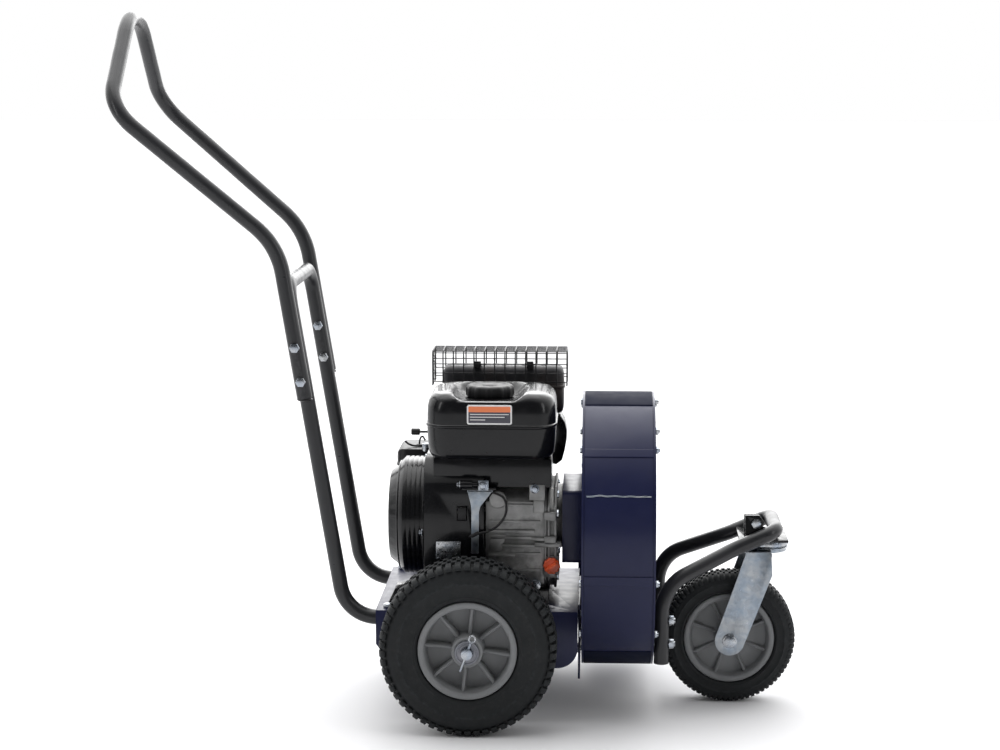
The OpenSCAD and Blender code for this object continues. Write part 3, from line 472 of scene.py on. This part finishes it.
def edge_smoother():
    """Node group that shades a mesh smooth, apart from its sharp edges."""
    group = bpy.data.node_groups.new("smooth_edges", "GeometryNodeTree")
    for way in ("INPUT", "OUTPUT"):
        group.interface.new_socket("Geometry", in_out=way, socket_type="NodeSocketGeometry")
    new, link = group.nodes.new, group.links.new
    entry, leave = new("NodeGroupInput"), new("NodeGroupOutput")
    shade_smooth, angle, compare, store = (new(kind) for kind in (
        "GeometryNodeSetShadeSmooth", "GeometryNodeInputMeshEdgeAngle", "FunctionNodeCompare",
        "GeometryNodeStoreNamedAttribute"))
    compare.operation = "GREATER_THAN"
    compare.inputs[1].default_value = SHARP
    store.data_type, store.domain = "BOOLEAN", "EDGE"
    store.inputs["Name"].default_value = "sharp_edge"
    link(entry.outputs[0], shade_smooth.inputs[0])
    link(shade_smooth.outputs[0], store.inputs["Geometry"])
    link(angle.outputs["Unsigned Angle"], compare.inputs[0])
    link(compare.outputs[0], store.inputs["Value"])
    link(store.outputs[0], leave.inputs[0])
    return group


def soften(thing, bevel, segments=2):
    """Rounds a piece's hard edges by bevel millimetres, then smooths its shading."""
    if bevel:
        rounder = thing.modifiers.new("round_edges", "BEVEL")
        rounder.width = bevel * MM
        rounder.segments = segments
        rounder.limit_method = "ANGLE"
        rounder.angle_limit = SHARP
    thing.modifiers.new("smooth", "NODES").node_group = SMOOTH


def piece(name, bm, slot, body="machine", bevel=0.4, replaces=(), look=None, segments=2):
    """Turns a mesh in millimetres into a named piece that rides on a body."""
    bmesh.ops.remove_doubles(bm, verts=bm.verts, dist=0.001)
    bmesh.ops.dissolve_degenerate(bm, edges=bm.edges, dist=0.0005)
    bmesh.ops.scale(bm, vec=(MM, MM, MM), verts=bm.verts)
    bmesh.ops.recalc_face_normals(bm, faces=bm.faces)
    mesh = bpy.data.meshes.new(name)
    bm.to_mesh(mesh)
    bm.free()
    mesh.materials.append(LOOKS[look or slot])
    thing = bpy.data.objects.new(name, mesh)
    scene.collection.objects.link(thing)
    soften(thing, bevel, segments)
    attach(thing, body)
    if replaces:
        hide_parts(*replaces)
    return thing


def dress(nodes, slot, bevel=0.4):
    """Gives CAD nodes their material and rounds their edges."""
    for name in nodes:
        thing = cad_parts[name]
        thing.data.materials.clear()
        thing.data.materials.append(LOOKS[slot])
        welder = thing.modifiers.new("weld", "WELD")
        welder.merge_threshold = 0.01 * MM
        flat = thing.modifiers.new("flats", "DECIMATE")
        flat.decimate_type = "DISSOLVE"
        flat.angle_limit = math.radians(0.6)
        soften(thing, bevel)


# ---- wheels ----

def tyre(name, node, body, centre, radius, half, seat, lugs, relief=3.8):
    """Tyre with bead, sidewall rings and blocky tread lugs that wrap over the shoulders."""
    bm = bmesh.new()
    base = radius - relief
    wide = half / 35
    side = [(0, 9), (0.03, 4), (0.08, 1.7), (0.11, 1.5), (0.125, 0.7), (0.155, 0.7), (0.17, 1.3),
            (0.34, 0.8), (0.5, 0.8), (0.51, 0.1), (0.54, 0.1), (0.55, 0.8), (0.68, 1.6),
            (0.78, 3.2), (0.87, 6), (0.94, 10), (0.98, 16), (1.0, 24)]
    profile = [(seat + (base - seat) * t, half - inset * wide) for t, inset in side]
    outline = profile + [(r, -w) for r, w in reversed(profile)]
    turned(bm, "y", centre, outline, 128)
    pitch = TURN / lugs
    shoulder = [(9.5, 3.6), (7.5, 2.6), (4, 4.6), (1, 9), (0, 13.5), (0, 21), (4.5, 21), (4.5, 14),
                (7, 9), (9.5, 6.5)]
    centre_block = [(0, 23.5), (0, 34), (5, 34), (5, 23.5)]
    for k, way in product(range(lugs), (-1, 1)):
        shift = 0 if way > 0 else 0.5
        section = [(radius - d, way * (half - w * wide)) for d, w in shoulder]
        lug(bm, centre, section, (k + shift) * pitch, pitch, radius)
        section = [(radius - d, way * (half - w * wide)) for d, w in centre_block]
        lug(bm, centre, section, (k + shift + 0.5) * pitch, pitch, radius)
    piece(name, bm, "tyre_rubber", body, 0.5, [node], segments=1)


def lug(bm, centre, section, angle, pitch, radius):
    """One tread block: a section of (radius, place across) swept a short way round the tyre."""
    rings = []
    for way in (-1, 1):
        ring = []
        for r, w in section:
            turn = angle + way * pitch * (0.30 + 0.006 * (radius - r))
            ring.append(at("y", centre, r * math.cos(turn), r * math.sin(turn), w))
        rings.append(ring)
    stack(bm, rings)


def rim(name, node, body, centre, radius, half, hub, hub_half, bore, turn):
    """Moulded rim: lip, sloping dish, raised hub and eight ribs on each face."""
    bm = bmesh.new()
    face = [(bore, 0), (bore, hub_half - 2), (bore + 1, hub_half - 0.6), (hub - 5, hub_half - 0.6),
            (hub - 4.6, hub_half), (hub - 2, hub_half), (hub - 0.4, hub_half - 1.2),
            (hub + 0.4, 12), (hub + 3, 8), (hub + 8, 6.4), (radius - 15, 6.4), (radius - 12, 8),
            (radius - 9.6, half - 2), (radius - 8.6, half + 0.4), (radius - 6.5, half + 1.6),
            (radius - 2.5, half + 1.6), (radius - 0.6, half + 0.6), (radius, half - 1.5)]
    outline = face[1:] + [(r, -w) for r, w in reversed(face[1:])]
    turned(bm, "y", centre, outline, 128)
    for k, way in product(range(8), (-1, 1)):
        rib(bm, centre, turn + k * 45, way, hub - 1, radius - 9.4, half)
    piece(name, bm, "rim_grey", body, 0.9, [node])


def rib(bm, centre, degrees, way, inner, outer, half):
    """One rib from the hub to the rim, with a rounded top. Degrees run from +X towards -Z."""
    angle = math.radians(degrees)
    out = Vector((math.cos(angle), -math.sin(angle)))
    side = Vector((math.sin(angle), math.cos(angle)))
    section = [(-3.4, 4), (-2.6, -2.4), (-1.6, -0.6), (0, 0), (1.6, -0.6), (2.6, -2.4), (3.4, 4)]
    rings = []
    for reach, top in ((inner, half - 12), ((inner + outer) / 2, half - 10), (outer, half - 6)):
        ring = []
        for across, depth in section:
            flat = out * reach + side * across
            height = 4 if depth > 0 else top + depth
            ring.append(at("y", centre, flat.x, flat.y, way * height))
        rings.append(ring)
    stack(bm, rings)


def add_wheels():
    """Tyres and rims of the three wheels, and the washers on the rear axle."""
    for name, way in (("left", 1), ("right", -1)):
        low, high = box_mm(f"wheel_{name}_tyre")
        centre = (low + high) / 2
        body = f"wheel_{name}"
        tyre(f"tyre_{name}", f"wheel_{name}_tyre", body, centre, radius=127, half=35,
             seat=71.1, lugs=58)
        rim(f"rim_{name}", f"wheel_{name}_rim", body, centre, radius=71, half=31.5,
            hub=22.5, hub_half=38, bore=13.05, turn=6.5)
        bm = bmesh.new()
        washer = [(8.6, way * 40), (17, way * 40), (17.6, way * 40.5), (17.2, way * 41.6),
                  (15, way * 41.6), (14.6, way * 40.8), (12.6, way * 40.8), (12.2, way * 41.6),
                  (8.9, way * 41.6)]
        turned(bm, "y", centre, washer, 48)
        piece(f"wheel_washer_{name}", bm, "zinc", body, 0.2, look="fan_steel")
    low, high = box_mm("caster_tyre")
    centre = (low + high) / 2
    tyre("tyre_caster", "caster_tyre", "caster_wheel", centre, radius=99, half=26,
         seat=68.1, lugs=72, relief=2.2)
    rim("rim_caster", "caster_rim", "caster_wheel", centre, radius=68, half=21.5,
        hub=19, hub_half=30, bore=5.05, turn=-25)


# ---- fuel tank ----

def add_tank():
    """Pressed tank: lower and upper shell, welded seam, and a dish round the cap."""
    low, high = box_mm("fuel_tank")
    cap_low, cap_high = box_mm("fuel_cap")
    cap = ((cap_low + cap_high) / 2).xy
    levels = [(0, 18), (1, 12), (4, 7.5), (10, 4.2), (20, 2.8), (34, 2), (47.5, 1.6), (48.7, 0.4),
              (49.5, 0), (51.5, 0), (52.3, 0.4), (53.3, 1.8), (66, 1.9), (78, 2.6), (86, 4.4),
              (91, 7.4), (95, 12), (97, 17), (98, 24)]
    inner = [(98.6 + 0.02 * k, 24 + 4.4 * k) for k in range(1, 13)]
    bm = bmesh.new()
    rings = []
    for z, inset in levels + inner:
        corner = max(34 - inset * 0.35, 6)
        outline = inset_box(low, high, inset, corner, 10)
        rings.append([(x, y, low.z + min(z, 99)) for x, y in subdivided(outline, 10, 16)])
    stack(bm, rings)
    for vert in bm.verts:
        vert.co.z = min(vert.co.z, dish_height(vert.co, cap, low, high))
    piece("tank_shell", bm, "black_gloss", bevel=0, replaces=["fuel_tank"])

    bm = bmesh.new()
    floor_z = high.z - 14
    neck = [(20.2, -6), (27, -6), (27, 0.2), (26, 1.2), (20.2, 1.2)]
    turned(bm, "z", (cap.x, cap.y, floor_z - 1.4), neck, 64)
    piece("tank_neck", bm, "zinc", bevel=0.2)


def subdivided(outline, steps, cuts):
    """The outline of a rounded rectangle with its four straight sides cut into equal parts."""
    points = []
    for k, (a, b) in enumerate(zip(outline, outline[1:] + outline[:1])):
        parts = cuts if (k + 1) % (steps + 1) == 0 else 1
        for part in range(parts):
            points.append(tuple(p + (q - p) * part / parts for p, q in zip(a, b)))
    return points


def dish_height(point, cap, low, high):
    """Height of the dish round the cap, which spills over the tank's near edge."""
    flat, blend, deepest = 38, 24, 15.5
    along = min(max(point.y, low.y), cap.y)
    gap = math.hypot(point.x - cap.x, point.y - along)
    slope = min(max((gap - flat) / blend, 0), 1)
    depth = deepest - 4 * min(max((cap.y - 20 - point.y) / 60, 0), 1)
    return high.z - depth * (1 - slope * slope * (3 - 2 * slope)) + 3 * slope


def add_cap():
    """Fuel cap with grip flutes, a raised top ring and a skirt."""
    low, high = box_mm("fuel_cap")
    centre = ((low.x + high.x) / 2, (low.y + high.y) / 2, 0)
    top = high.z
    radius = (high.x - low.x) / 2
    base = top - 18.5
    outline = [(0, base), (radius - 4, base), (radius - 2, base + 1), (radius - 1.2, base + 5),
               (radius - 1.4, top - 6), (radius - 2.4, top - 3), (radius - 5, top - 1.2),
               (radius - 9, top - 0.6), (radius - 11, top - 1.8), (12, top - 2.2), (10, top - 0.8),
               (0, top - 0.4)]
    bm = bmesh.new()
    turned(bm, "z", centre, outline, 192, lambda a: 1 + 0.03 * max(-0.35, math.cos(12 * a)))
    turned(bm, "z", centre, [(0, low.z), (19.6, low.z), (19.6, base + 1), (0, base + 1)], 48)
    piece("fuel_cap_grip", bm, "black_plastic", "fuel_cap", 0.2, ["fuel_cap"])


def add_tank_label():
    """Generic printed panel: pale border, orange band and a dark field with plain rules."""
    low = box_mm("fuel_tank")[0]
    x0, x1, z0, z1 = 14.5, 79.5, 437.5, 466.0
    face = low.y + 2.0
    layers = [
        ("tank_label_border", "label_white", (x0, z0), (x1, z1), 3.0, 0.0),
        ("tank_label_field", "label_dark", (x0 + 2.2, z0 + 2.2), (x1 - 2.2, z1 - 10), 1.2, 0.3),
        ("tank_label_band", "label_orange", (x0 + 2.2, z1 - 10.4), (x1 - 2.2, z1 - 2.2), 1.2,
         0.35),
    ]
    for name, look, a, b, corner, lift in layers:
        bm = bmesh.new()
        prism(bm, "y", rounded(a, b, corner, 4), face - 0.7 - lift, face + 1.2)
        piece(name, bm, "black_plastic", look=look, bevel=0)
    bm = bmesh.new()
    for k, length in enumerate((56, 50, 22)):
        z = z1 - 13.6 - 4.0 * k
        block(bm, (x0 + 4.5, face - 1.2, z - 0.5), (x0 + 4.5 + length, face - 0.8, z + 0.5))
    piece("tank_label_rules", bm, "black_plastic", look="label_white", bevel=0)


# ---- engine ----

def add_muffler_guard():
    """Welded wire basket round the muffler."""
    low, high = box_mm("muffler_guard")
    gauge = 1.0
    x0, x1 = low.x + gauge, high.x - gauge
    y0, y1 = low.y + gauge, high.y - gauge
    z0, z1 = low.z, high.z - gauge
    bm = bmesh.new()
    count = 13
    spots = [x0 + (x1 - x0) * k / count for k in range(count + 1)]
    for x in spots:
        bend = 6
        path = [(x, y0, z0), (x, y0, z1 - bend), (x, y0 + 2, z1 - 2), (x, y0 + bend, z1),
                (x, y1 - bend, z1), (x, y1 - 2, z1 - 2), (x, y1, z1 - bend), (x, y1, z0)]
        wire(bm, path, gauge, 8)
    for z in (z0 + 6, z0 + 19, z0 + 33, z1 - 11):
        for y in (y0 - 0.6, y1 + 0.6):
            wire(bm, [(x0, y, z), (x1, y, z)], gauge - 0.3, 8)
        for x in (x0, x1):
            wire(bm, [(x, y0, z), (x, y1, z)], gauge - 0.2, 8)
    for y in [y0 + (y1 - y0) * k / 5 for k in range(6)]:
        wire(bm, [(x0, y, z1 - 0.4), (x1, y, z1 - 0.4)], gauge - 0.3, 8)
    for y in (y0 + 14, y1 - 14):
        for x in (x0, x1):
            wire(bm, [(x, y, z0), (x, y, z1)], gauge, 8)
    piece("muffler_cage", bm, "black_wire", bevel=0, replaces=["muffler_guard"])

    bm = bmesh.new()
    for x in (20, 100):
        block(bm, (x - 5, y0 + 2, 494), (x + 5, y0 + 30, 497.5))
        block(bm, (x - 5, y0 + 1, 494), (x + 5, y0 + 3, 505))
        bolt_head(bm, "z", (x, y0 + 17, 497.5), 5, 1, 5)
    piece("cage_clips", bm, "black_wire", bevel=0.3)


def add_muffler():
    """Two pressed shells with a rolled seam on their pipe, and the shield over the cylinder."""
    low, high = box_mm("muffler")
    levels = [(0, 10), (1.5, 6), (5, 3), (12, 1.8), (37, 1.6), (40, 1.6), (40.6, 0), (44.2, 0),
              (44.8, 1.6), (58, 1.8), (66, 3.4), (70, 6), (72.2, 10), (73, 16)]
    bm = bmesh.new()
    rings = []
    for z, inset in levels:
        corner = 14 - inset * 0.3
        outline = inset_box(low, high, inset, corner, 8)
        rings.append([(x, y, high.z - 73 + z) for x, y in outline])
    stack(bm, rings)
    for x in (0, 30, 60, 90, 120):
        pressed = rounded((x - 4, low.y + 18), (x + 4, high.y - 18), 3.5, 5)
        prism(bm, "z", pressed, high.z - 1, high.z + 0.6, 0.9)
    pipe = (83, 104, 0)
    turned(bm, "z", pipe, [(0, 363), (14, 363), (14, 426), (0, 426)], 32)
    turned(bm, "z", pipe, [(14, 366), (20, 366), (20, 371), (14, 371)], 32)
    piece("muffler_shell", bm, "muffler_black", bevel=0.4, replaces=["muffler"])

    bm = bmesh.new()
    edge = [(126, 350), (126, 421), (147, 421), (153, 411), (156, 398), (156, 385), (153, 368),
            (149, 353), (140, 346)]
    prism(bm, "y", edge, 62, 112)
    pressing = [(128, 354), (128, 417), (146, 417), (151, 398), (150, 372), (140, 351)]
    prism(bm, "y", pressing, 60.6, 63)
    piece("head_shield", bm, "black_gloss", bevel=0.8)


def add_crankcase_ribs():
    """Cast ribs, bosses and a round pad on the crankcase's near side."""
    near = -92    # Y of the crankcase's near side
    bm = bmesh.new()
    block(bm, (42, near - 5, 272), (112, near + 3, 277))
    block(bm, (64, near - 6, 251), (112, near + 3, 255.5))
    block(bm, (44, near - 5, 236.5), (83, near + 3, 241))
    block(bm, (108, near - 6, 261), (126, near + 3, 266))
    block(bm, (104, near - 7, 322), (127, near + 4, 345))
    block(bm, (110, near - 4, 303), (126, near + 3, 322))
    turned(bm, "y", (58, near, 322), [(0, -7), (12, -7), (13, -6), (13, 2), (0, 2)], 40)
    prism(bm, "y", [(47, 242), (63, 246), (70, 270), (47, 270)], near - 3, near + 2, 0.9)
    piece("crankcase_ribs", bm, "cast_aluminium", bevel=1.0)


def add_side_cover_flange():
    """Stepped lips of the crankcase's side cover, with its bosses on the near side."""
    bm = bmesh.new()
    mid_y, mid_z = -9, 262
    cover = [(-92, 204), (-76, 187), (60, 187), (74, 202), (74, 298), (49, 336), (-66, 336),
             (-92, 310)]
    for x0, x1, grow in ((126, 129, 1.02), (131, 134, 1.03), (140, 144, 1.0)):
        lip = [(mid_y + (y - mid_y) * grow, mid_z + (z - mid_z) * grow) for y, z in cover]
        prism(bm, "x", lip, x0, x1)
    for z in (214, 262, 298):
        block(bm, (126, -99, z - 6), (143, -88, z + 6))
    block(bm, (112, -99, 252), (151, -86, 259))
    piece("side_cover_flange", bm, "cast_aluminium", bevel=0.8)


def add_controls():
    """Screws, sheet-metal control bracket, its spindle and the looped control wire."""
    spindle = (0, -112, 347)
    bm = bmesh.new()
    for x, y, z in ((37, -111, 346), (112, -99, 339)):
        bolt_head(bm, "y", (x, y, z), 5.2, -1, 6, 1.3)
    bolt_head(bm, "x", (spindle[0] + 4, spindle[1], spindle[2]), 4.6, -1, 5)
    piece("engine_screws", bm, "zinc", bevel=0.3)

    bm = bmesh.new()
    funnel = [(14, 338), (51, 338), (46, 331), (33, 314), (31, 306), (30.5, 244), (20, 244),
              (20, 306), (19, 318)]
    prism(bm, "y", funnel, -110.5, -108.5)
    block(bm, (14, -110.5, 336), (51, -98, 338.5))
    block(bm, (30, -110.5, 338), (45, -108.5, 353))
    block(bm, (20, -109.5, 244), (30.5, -105.5, 246.5))
    piece("control_bracket", bm, "zinc_sheet", bevel=0.4)

    bm = bmesh.new()
    block(bm, (6, -110, 338.5), (56, -98, 342))
    turned(bm, "x", spindle, [(0, 4), (6, 4), (6.3, 5), (6.3, 21), (5.6, 22), (0, 22)], 32)
    turned(bm, "x", spindle, [(0, 22), (4, 22), (4, 29), (0, 29)], 32)
    piece("control_spindle", bm, "black_gloss", bevel=0.3)

    bm = bmesh.new()
    loop = [(44, -106, 336), (57, -108, 333), (67, -109, 327), (71, -110, 315),
            (69, -111, 301), (60, -112, 288), (47, -112.5, 279), (34, -112.5, 275.5),
            (21, -112, 272), (17, -108, 268)]
    wire(bm, smooth_path(loop), 1.7)
    wire(bm, [(20, -111.8, 270), (31, -111.8, 276)], 2.6)
    piece("control_wire", bm, "black_plastic", bevel=0)


def add_rating_plate():
    """Small riveted plate with plain raised rules."""
    face = -107.2
    bm = bmesh.new()
    prism(bm, "y", rounded((-32, 234), (4, 261.5), 1.4, 3), face, face + 1.4)
    for x, z in product((-28.5, 0.5), (237, 258)):
        turned(bm, "y", (x, face, z), [(0, -0.9), (0.9, -0.8), (1.5, 0), (0, 0)], 16)
    for z, reach in ((253, 18), (248, 24), (243, 15)):
        block(bm, (-25, -107.6, z - 0.4), (-25 + reach, -107, z + 0.4))
    piece("rating_plate", bm, "zinc", bevel=0.15)


def add_dipstick():
    """Oil cap with scallops round its rim and a slanted grip bar."""
    low, high = box_mm("oil_dipstick")
    x, z = (low.x + high.x) / 2, (low.z + high.z) / 2
    face = low.y + 14
    rim_outline = [(0, face + 5.4), (11, face + 5.4), (12, face + 4.4), (12, face - 1),
                   (10.6, face - 2.6), (0, face - 2.6)]
    bm = bmesh.new()
    turned(bm, "y", (x, 0, z), rim_outline, 120, lambda a: 1 + 0.05 * min(0.4, math.cos(10 * a)))
    turned(bm, "y", (x, 0, z), [(0, face + 5), (7.9, face + 5), (7.9, high.y), (0, high.y)], 40)
    slant = math.radians(38)
    cos, sin = math.cos(slant), math.sin(slant)
    grip = [(x + u * cos - v * sin, z + u * sin + v * cos)
            for u, v in rounded((-10, -2.6), (10, 2.6), 2.4, 4)]
    prism(bm, "y", grip, face - 1, low.y + 1, 0.94)
    piece("oil_cap", bm, "orange_plastic", "oil_dipstick", 0.5, ["oil_dipstick"])


def add_valve_cover():
    """Valve cover and its screws, built upright and then tilted onto the cylinder head."""
    pivot = (0, 66, 292)
    tilt = Matrix.Rotation(math.radians(25), 3, "X")
    face = pivot[1] + 124
    bm = bmesh.new()
    plate = rounded((54, pivot[2] - 32), (112, pivot[2] + 32), 9, 5)
    prism(bm, "y", plate, face - 1, face + 4, 0.96)
    for z in (-16, 0, 16):
        rib_outline = rounded((66, pivot[2] + z - 2), (100, pivot[2] + z + 2), 1.9, 3)
        prism(bm, "y", rib_outline, face + 3.5, face + 6, 0.95)
    bmesh.ops.rotate(bm, cent=pivot, matrix=tilt, verts=bm.verts)
    piece("valve_cover", bm, "cast_aluminium", bevel=0.6)
    bm = bmesh.new()
    for x, z in product((61, 105), (-24, 24)):
        bolt_head(bm, "y", (x, face + 4, pivot[2] + z), 4.6, 1, 5)
    bmesh.ops.rotate(bm, cent=pivot, matrix=tilt, verts=bm.verts)
    piece("valve_cover_screws", bm, "zinc", bevel=0.2)


def add_filter_lid():
    """Lid seam, two clips and the wing nut of the air filter."""
    low, high = box_mm("air_filter_box")
    seam = low.z + 44
    bm = bmesh.new()
    rings = []
    for z, grow in ((seam, 0), (seam + 0.6, 1.4), (seam + 3, 1.4), (seam + 3.6, 0)):
        outline = inset_box(low, high, -grow, 16 + grow, 8)
        rings.append([(x, y, z) for x, y in outline])
    stack(bm, rings)
    for x in (low.x + 30, low.x + 72):
        block(bm, (x - 7, low.y - 3, seam - 12), (x + 7, low.y + 0.5, seam + 9))
    turned(bm, "z", ((low.x + high.x) / 2, (low.y + high.y) / 2 + 10, high.z),
           [(0, -1), (15, -1), (15, 2), (13, 4), (0, 4)], 40, lambda a: 1 + 0.05 * math.cos(5 * a))
    piece("filter_lid_seam", bm, "black_plastic", bevel=0.4)


def add_recoil():
    """Rolled edge bands and screws on the recoil cover."""
    bm = bmesh.new()
    hub = [(0, -107), (14, -107), (17, -105.5), (19, -102), (19, -98), (0, -98)]
    turned(bm, "x", SHAFT, hub, 64)
    band = [(87.8, -54), (90.2, -54), (90.6, -53), (90.6, -51), (90.2, -50), (87.8, -50)]
    turned(bm, "x", SHAFT, band, 96)
    band = [(76, -93.2), (80.4, -93.2), (81.4, -92.4), (81.4, -90.8), (76, -90.8)]
    turned(bm, "x", SHAFT, band, 96)
    piece("recoil_bands", bm, "black_gloss", bevel=0.3)
    bm = bmesh.new()
    circle = 89
    for k in range(3):
        angle = TURN * (k + 0.55) / 3
        y, z = circle * math.cos(angle), SHAFT[2] + circle * math.sin(angle)
        bolt_head(bm, "x", (-53.4, y, z), 4.2, -1, 5)
    piece("recoil_screws", bm, "zinc", bevel=0.2)


def add_housing_details():
    """Clamp straps, weld bead, and strips on the fan housing painted dark without sheen as painted
    shade.
    """
    low, high = box_mm("fan_scroll")
    bm = bmesh.new()
    for z0, z1 in ((217, 231), (397, 407)):
        arc_strap(bm, low.x + 0.4, high.x - 0.4, z0, z1)
    piece("housing_straps", bm, "navy_paint", bevel=0.3)
    bm = bmesh.new()
    path = []
    parts, weld_z = 48, 345.5
    for k in range(parts + 1):
        x = low.x + 4 + (high.x - low.x - 8) * k / parts
        wobble = noise.noise(Vector((x * 0.06, 3.1, 0)))
        z = weld_z + 2.2 * wobble
        path.append((x, scroll_side(z) - 0.2, z))
    wire(bm, path, 1.1, 8)
    piece("housing_weld", bm, "zinc_sheet", bevel=0)
    # thin strips near the scroll's top and bottom, in darker navy without sheen: painted shade,
    # not a separate part's colour
    x0, x1 = low.x + 0.6, high.x - 0.6
    bm = bmesh.new()
    curved_strip(bm, x0, x1, [(-4, 272, 195, 108, 90), (-4, 294, 173, 90, 52)])
    curved_strip(bm, x0, x1, [(17, 272, 216, 232, 270)])
    piece("housing_shade_strips", bm, "navy_paint", bevel=0.2, look="navy_painted_shade")


def curved_strip(bm, x0, x1, arcs):
    """Thin strip over the scroll sheet. Each arc is (y, z, radius, start and end in degrees)."""
    rings = []
    steps = 12
    for y, z, radius, start, end in arcs:
        for step in range(steps + 1):
            angle = math.radians(start + (end - start) * step / steps)
            across, up = math.cos(angle), math.sin(angle)
            near, far = radius - 0.5, radius + 1.1
            rings.append([
                (x0, y + near * across, z + near * up), (x1, y + near * across, z + near * up),
                (x1, y + far * across, z + far * up), (x0, y + far * across, z + far * up),
            ])
    stack(bm, rings[:steps + 1] + rings[steps + 2:])    # the next arc starts where one ends


def arc_strap(bm, x0, x1, z0, z1):
    """A thin strap that follows the scroll's near side between two heights."""
    rings = []
    steps = 8
    for step in range(steps + 1):
        z = z0 + (z1 - z0) * step / steps
        y = scroll_side(z)
        rings.append([(x0, y, z), (x1, y, z), (x1, y - 1.4, z), (x0, y - 1.4, z)])
    stack(bm, rings)


def scroll_side(z):
    """Y of the scroll sheet's near side at a height."""
    cy, cz, r = (-4, 272, 195) if z > 272 else (17, 272, 216)
    return cy - math.sqrt(r * r - (z - cz) ** 2)


def add_small_parts():
    """Plugs on the lower handle's tubes, fuel valve lever and choke linkage."""
    bm = bmesh.new()
    for y in (-1, 1):
        x, z = leg_x(478), 478
        plug = [(0, 0), (9, 0), (11, 1.2), (11, 3), (9, 4), (0, 4)]
        turned(bm, "z", (x, y * 147.5, z - 3.6), plug, 32)
    piece("handle_plugs", bm, "black_plastic", bevel=0.3)

    bm = bmesh.new()
    block(bm, (-74, -6, 405), (-44, -2, 408))
    knob = [(0, -76), (4, -76), (5, -75), (5, -64), (4, -63), (0, -63)]
    turned(bm, "x", (0, -4, 406.5), knob, 24)
    piece("fuel_valve_lever", bm, "black_plastic", bevel=0.5)

    bm = bmesh.new()
    rod = [(-96, 118, 371), (-90, 120, 366), (-80, 122, 363), (-62, 136, 362.5)]
    wire(bm, smooth_path(rod), 1.6)
    hook = [(-76, 140, 361), (-74, 139, 372), (-70, 138, 375), (-66, 137, 369)]
    wire(bm, smooth_path(hook), 1.4)
    block(bm, (-80, 136, 360.5), (-50, 148, 363))
    piece("choke_linkage", bm, "black_wire", bevel=0.2)


def leg_x(z):
    """X of the handle's lower legs at a height."""
    return -138 - 0.1654 * z


def add_caster_details():
    """Dust shell and collar of the swivel, and the washers on the caster's axle."""
    bm = bmesh.new()
    kingpin = (457, 0, 0)
    shell = [(28, 250.6), (30.8, 250.6), (31.9, 248.4), (32.6, 241), (31.7, 239.6), (31, 241),
             (30.7, 247.6), (28, 248)]
    turned(bm, "z", kingpin, shell, 72)
    piece("swivel_dust_shell", bm, "zinc", bevel=0.2)
    bm = bmesh.new()
    collar = [(28, 235.2), (31, 235.2), (33, 236.2), (33.2, 237.4), (31, 238.2), (28, 238.2)]
    turned(bm, "z", kingpin, collar, 72)
    piece("swivel_collar", bm, "zinc", "caster_swivel", 0.2)
    bm = bmesh.new()
    low, high = box_mm("caster_tyre")
    x, z = (low.x + high.x) / 2, (low.z + high.z) / 2
    for way, face in ((-1, -41), (1, 41)):
        washer = [(5, 0), (11, 0), (11, way * 1.2), (10.4, way * 1.6), (5, way * 1.6)]
        turned(bm, "y", (x, face, z), washer, 40)
    piece("caster_axle_washers", bm, "zinc", "caster_swivel", 0.2)


# ---- CAD nodes that stay ----

def dress_cad():
    """Material and edge rounding of every CAD node that is shown as it is."""
    dress(["base_frame", "fan_support_plate", "fan_back_plate", "fan_scroll", "fan_front_plate",
           "outlet_flange", "engine_adapter"], "navy_paint", 0.5)
    dress(["lower_handle", "upper_handle", "caster_bracket"], "charcoal_paint", 0)
    dress(["rear_riser", "caster_mount", "engine_shroud", "tank_bracket", "recoil_cover"],
          "black_gloss", 0.8)
    dress(["air_filter_box", "pull_handle"], "black_plastic", 1.0)
    dress(["engine_switch"], "black_plastic", 0.6)
    dress(["intake_guard"], "black_wire", 0.3)
    dress(["handle_bolts", "handle_frame_bolts", "rear_axle", "axle_spacers", "axle_split_pins",
           "wheel_left_bushes", "wheel_right_bushes", "caster_bracket_bolts", "caster_mount_bolt",
           "caster_kingpin", "caster_axle", "fan_mount_bolts", "housing_bolts", "impeller_bolt",
           "crankcase_bolts", "drain_plug", "throttle_lever", "engine_base_bolts"], "zinc", 0.5)
    dress(["caster_fork"], "zinc_sheet", 0.6)
    dress(["swivel_balls", "crankshaft"], "bearing_steel", 0.2)
    dress(["crankcase", "crankcase_side_cover", "cylinder_block", "cylinder_head", "carburetor"],
          "cast_aluminium", 1.0)
    dress(["impeller", "flywheel"], "fan_steel", 0.3)
    dress(["spark_plug"], "ceramic", 0.5)


LOOKS = make_looks()
SMOOTH = edge_smoother()
add_camera()
add_floor()
add_lights()
scene.view_settings.view_transform = "Standard"
dress_cad()
add_wheels()
add_tank()
add_cap()
add_tank_label()
add_muffler_guard()
add_muffler()
add_crankcase_ribs()
add_side_cover_flange()
add_controls()
add_rating_plate()
add_dipstick()
add_valve_cover()
add_filter_lid()
add_recoil()
add_housing_details()
add_small_parts()
add_caster_details()
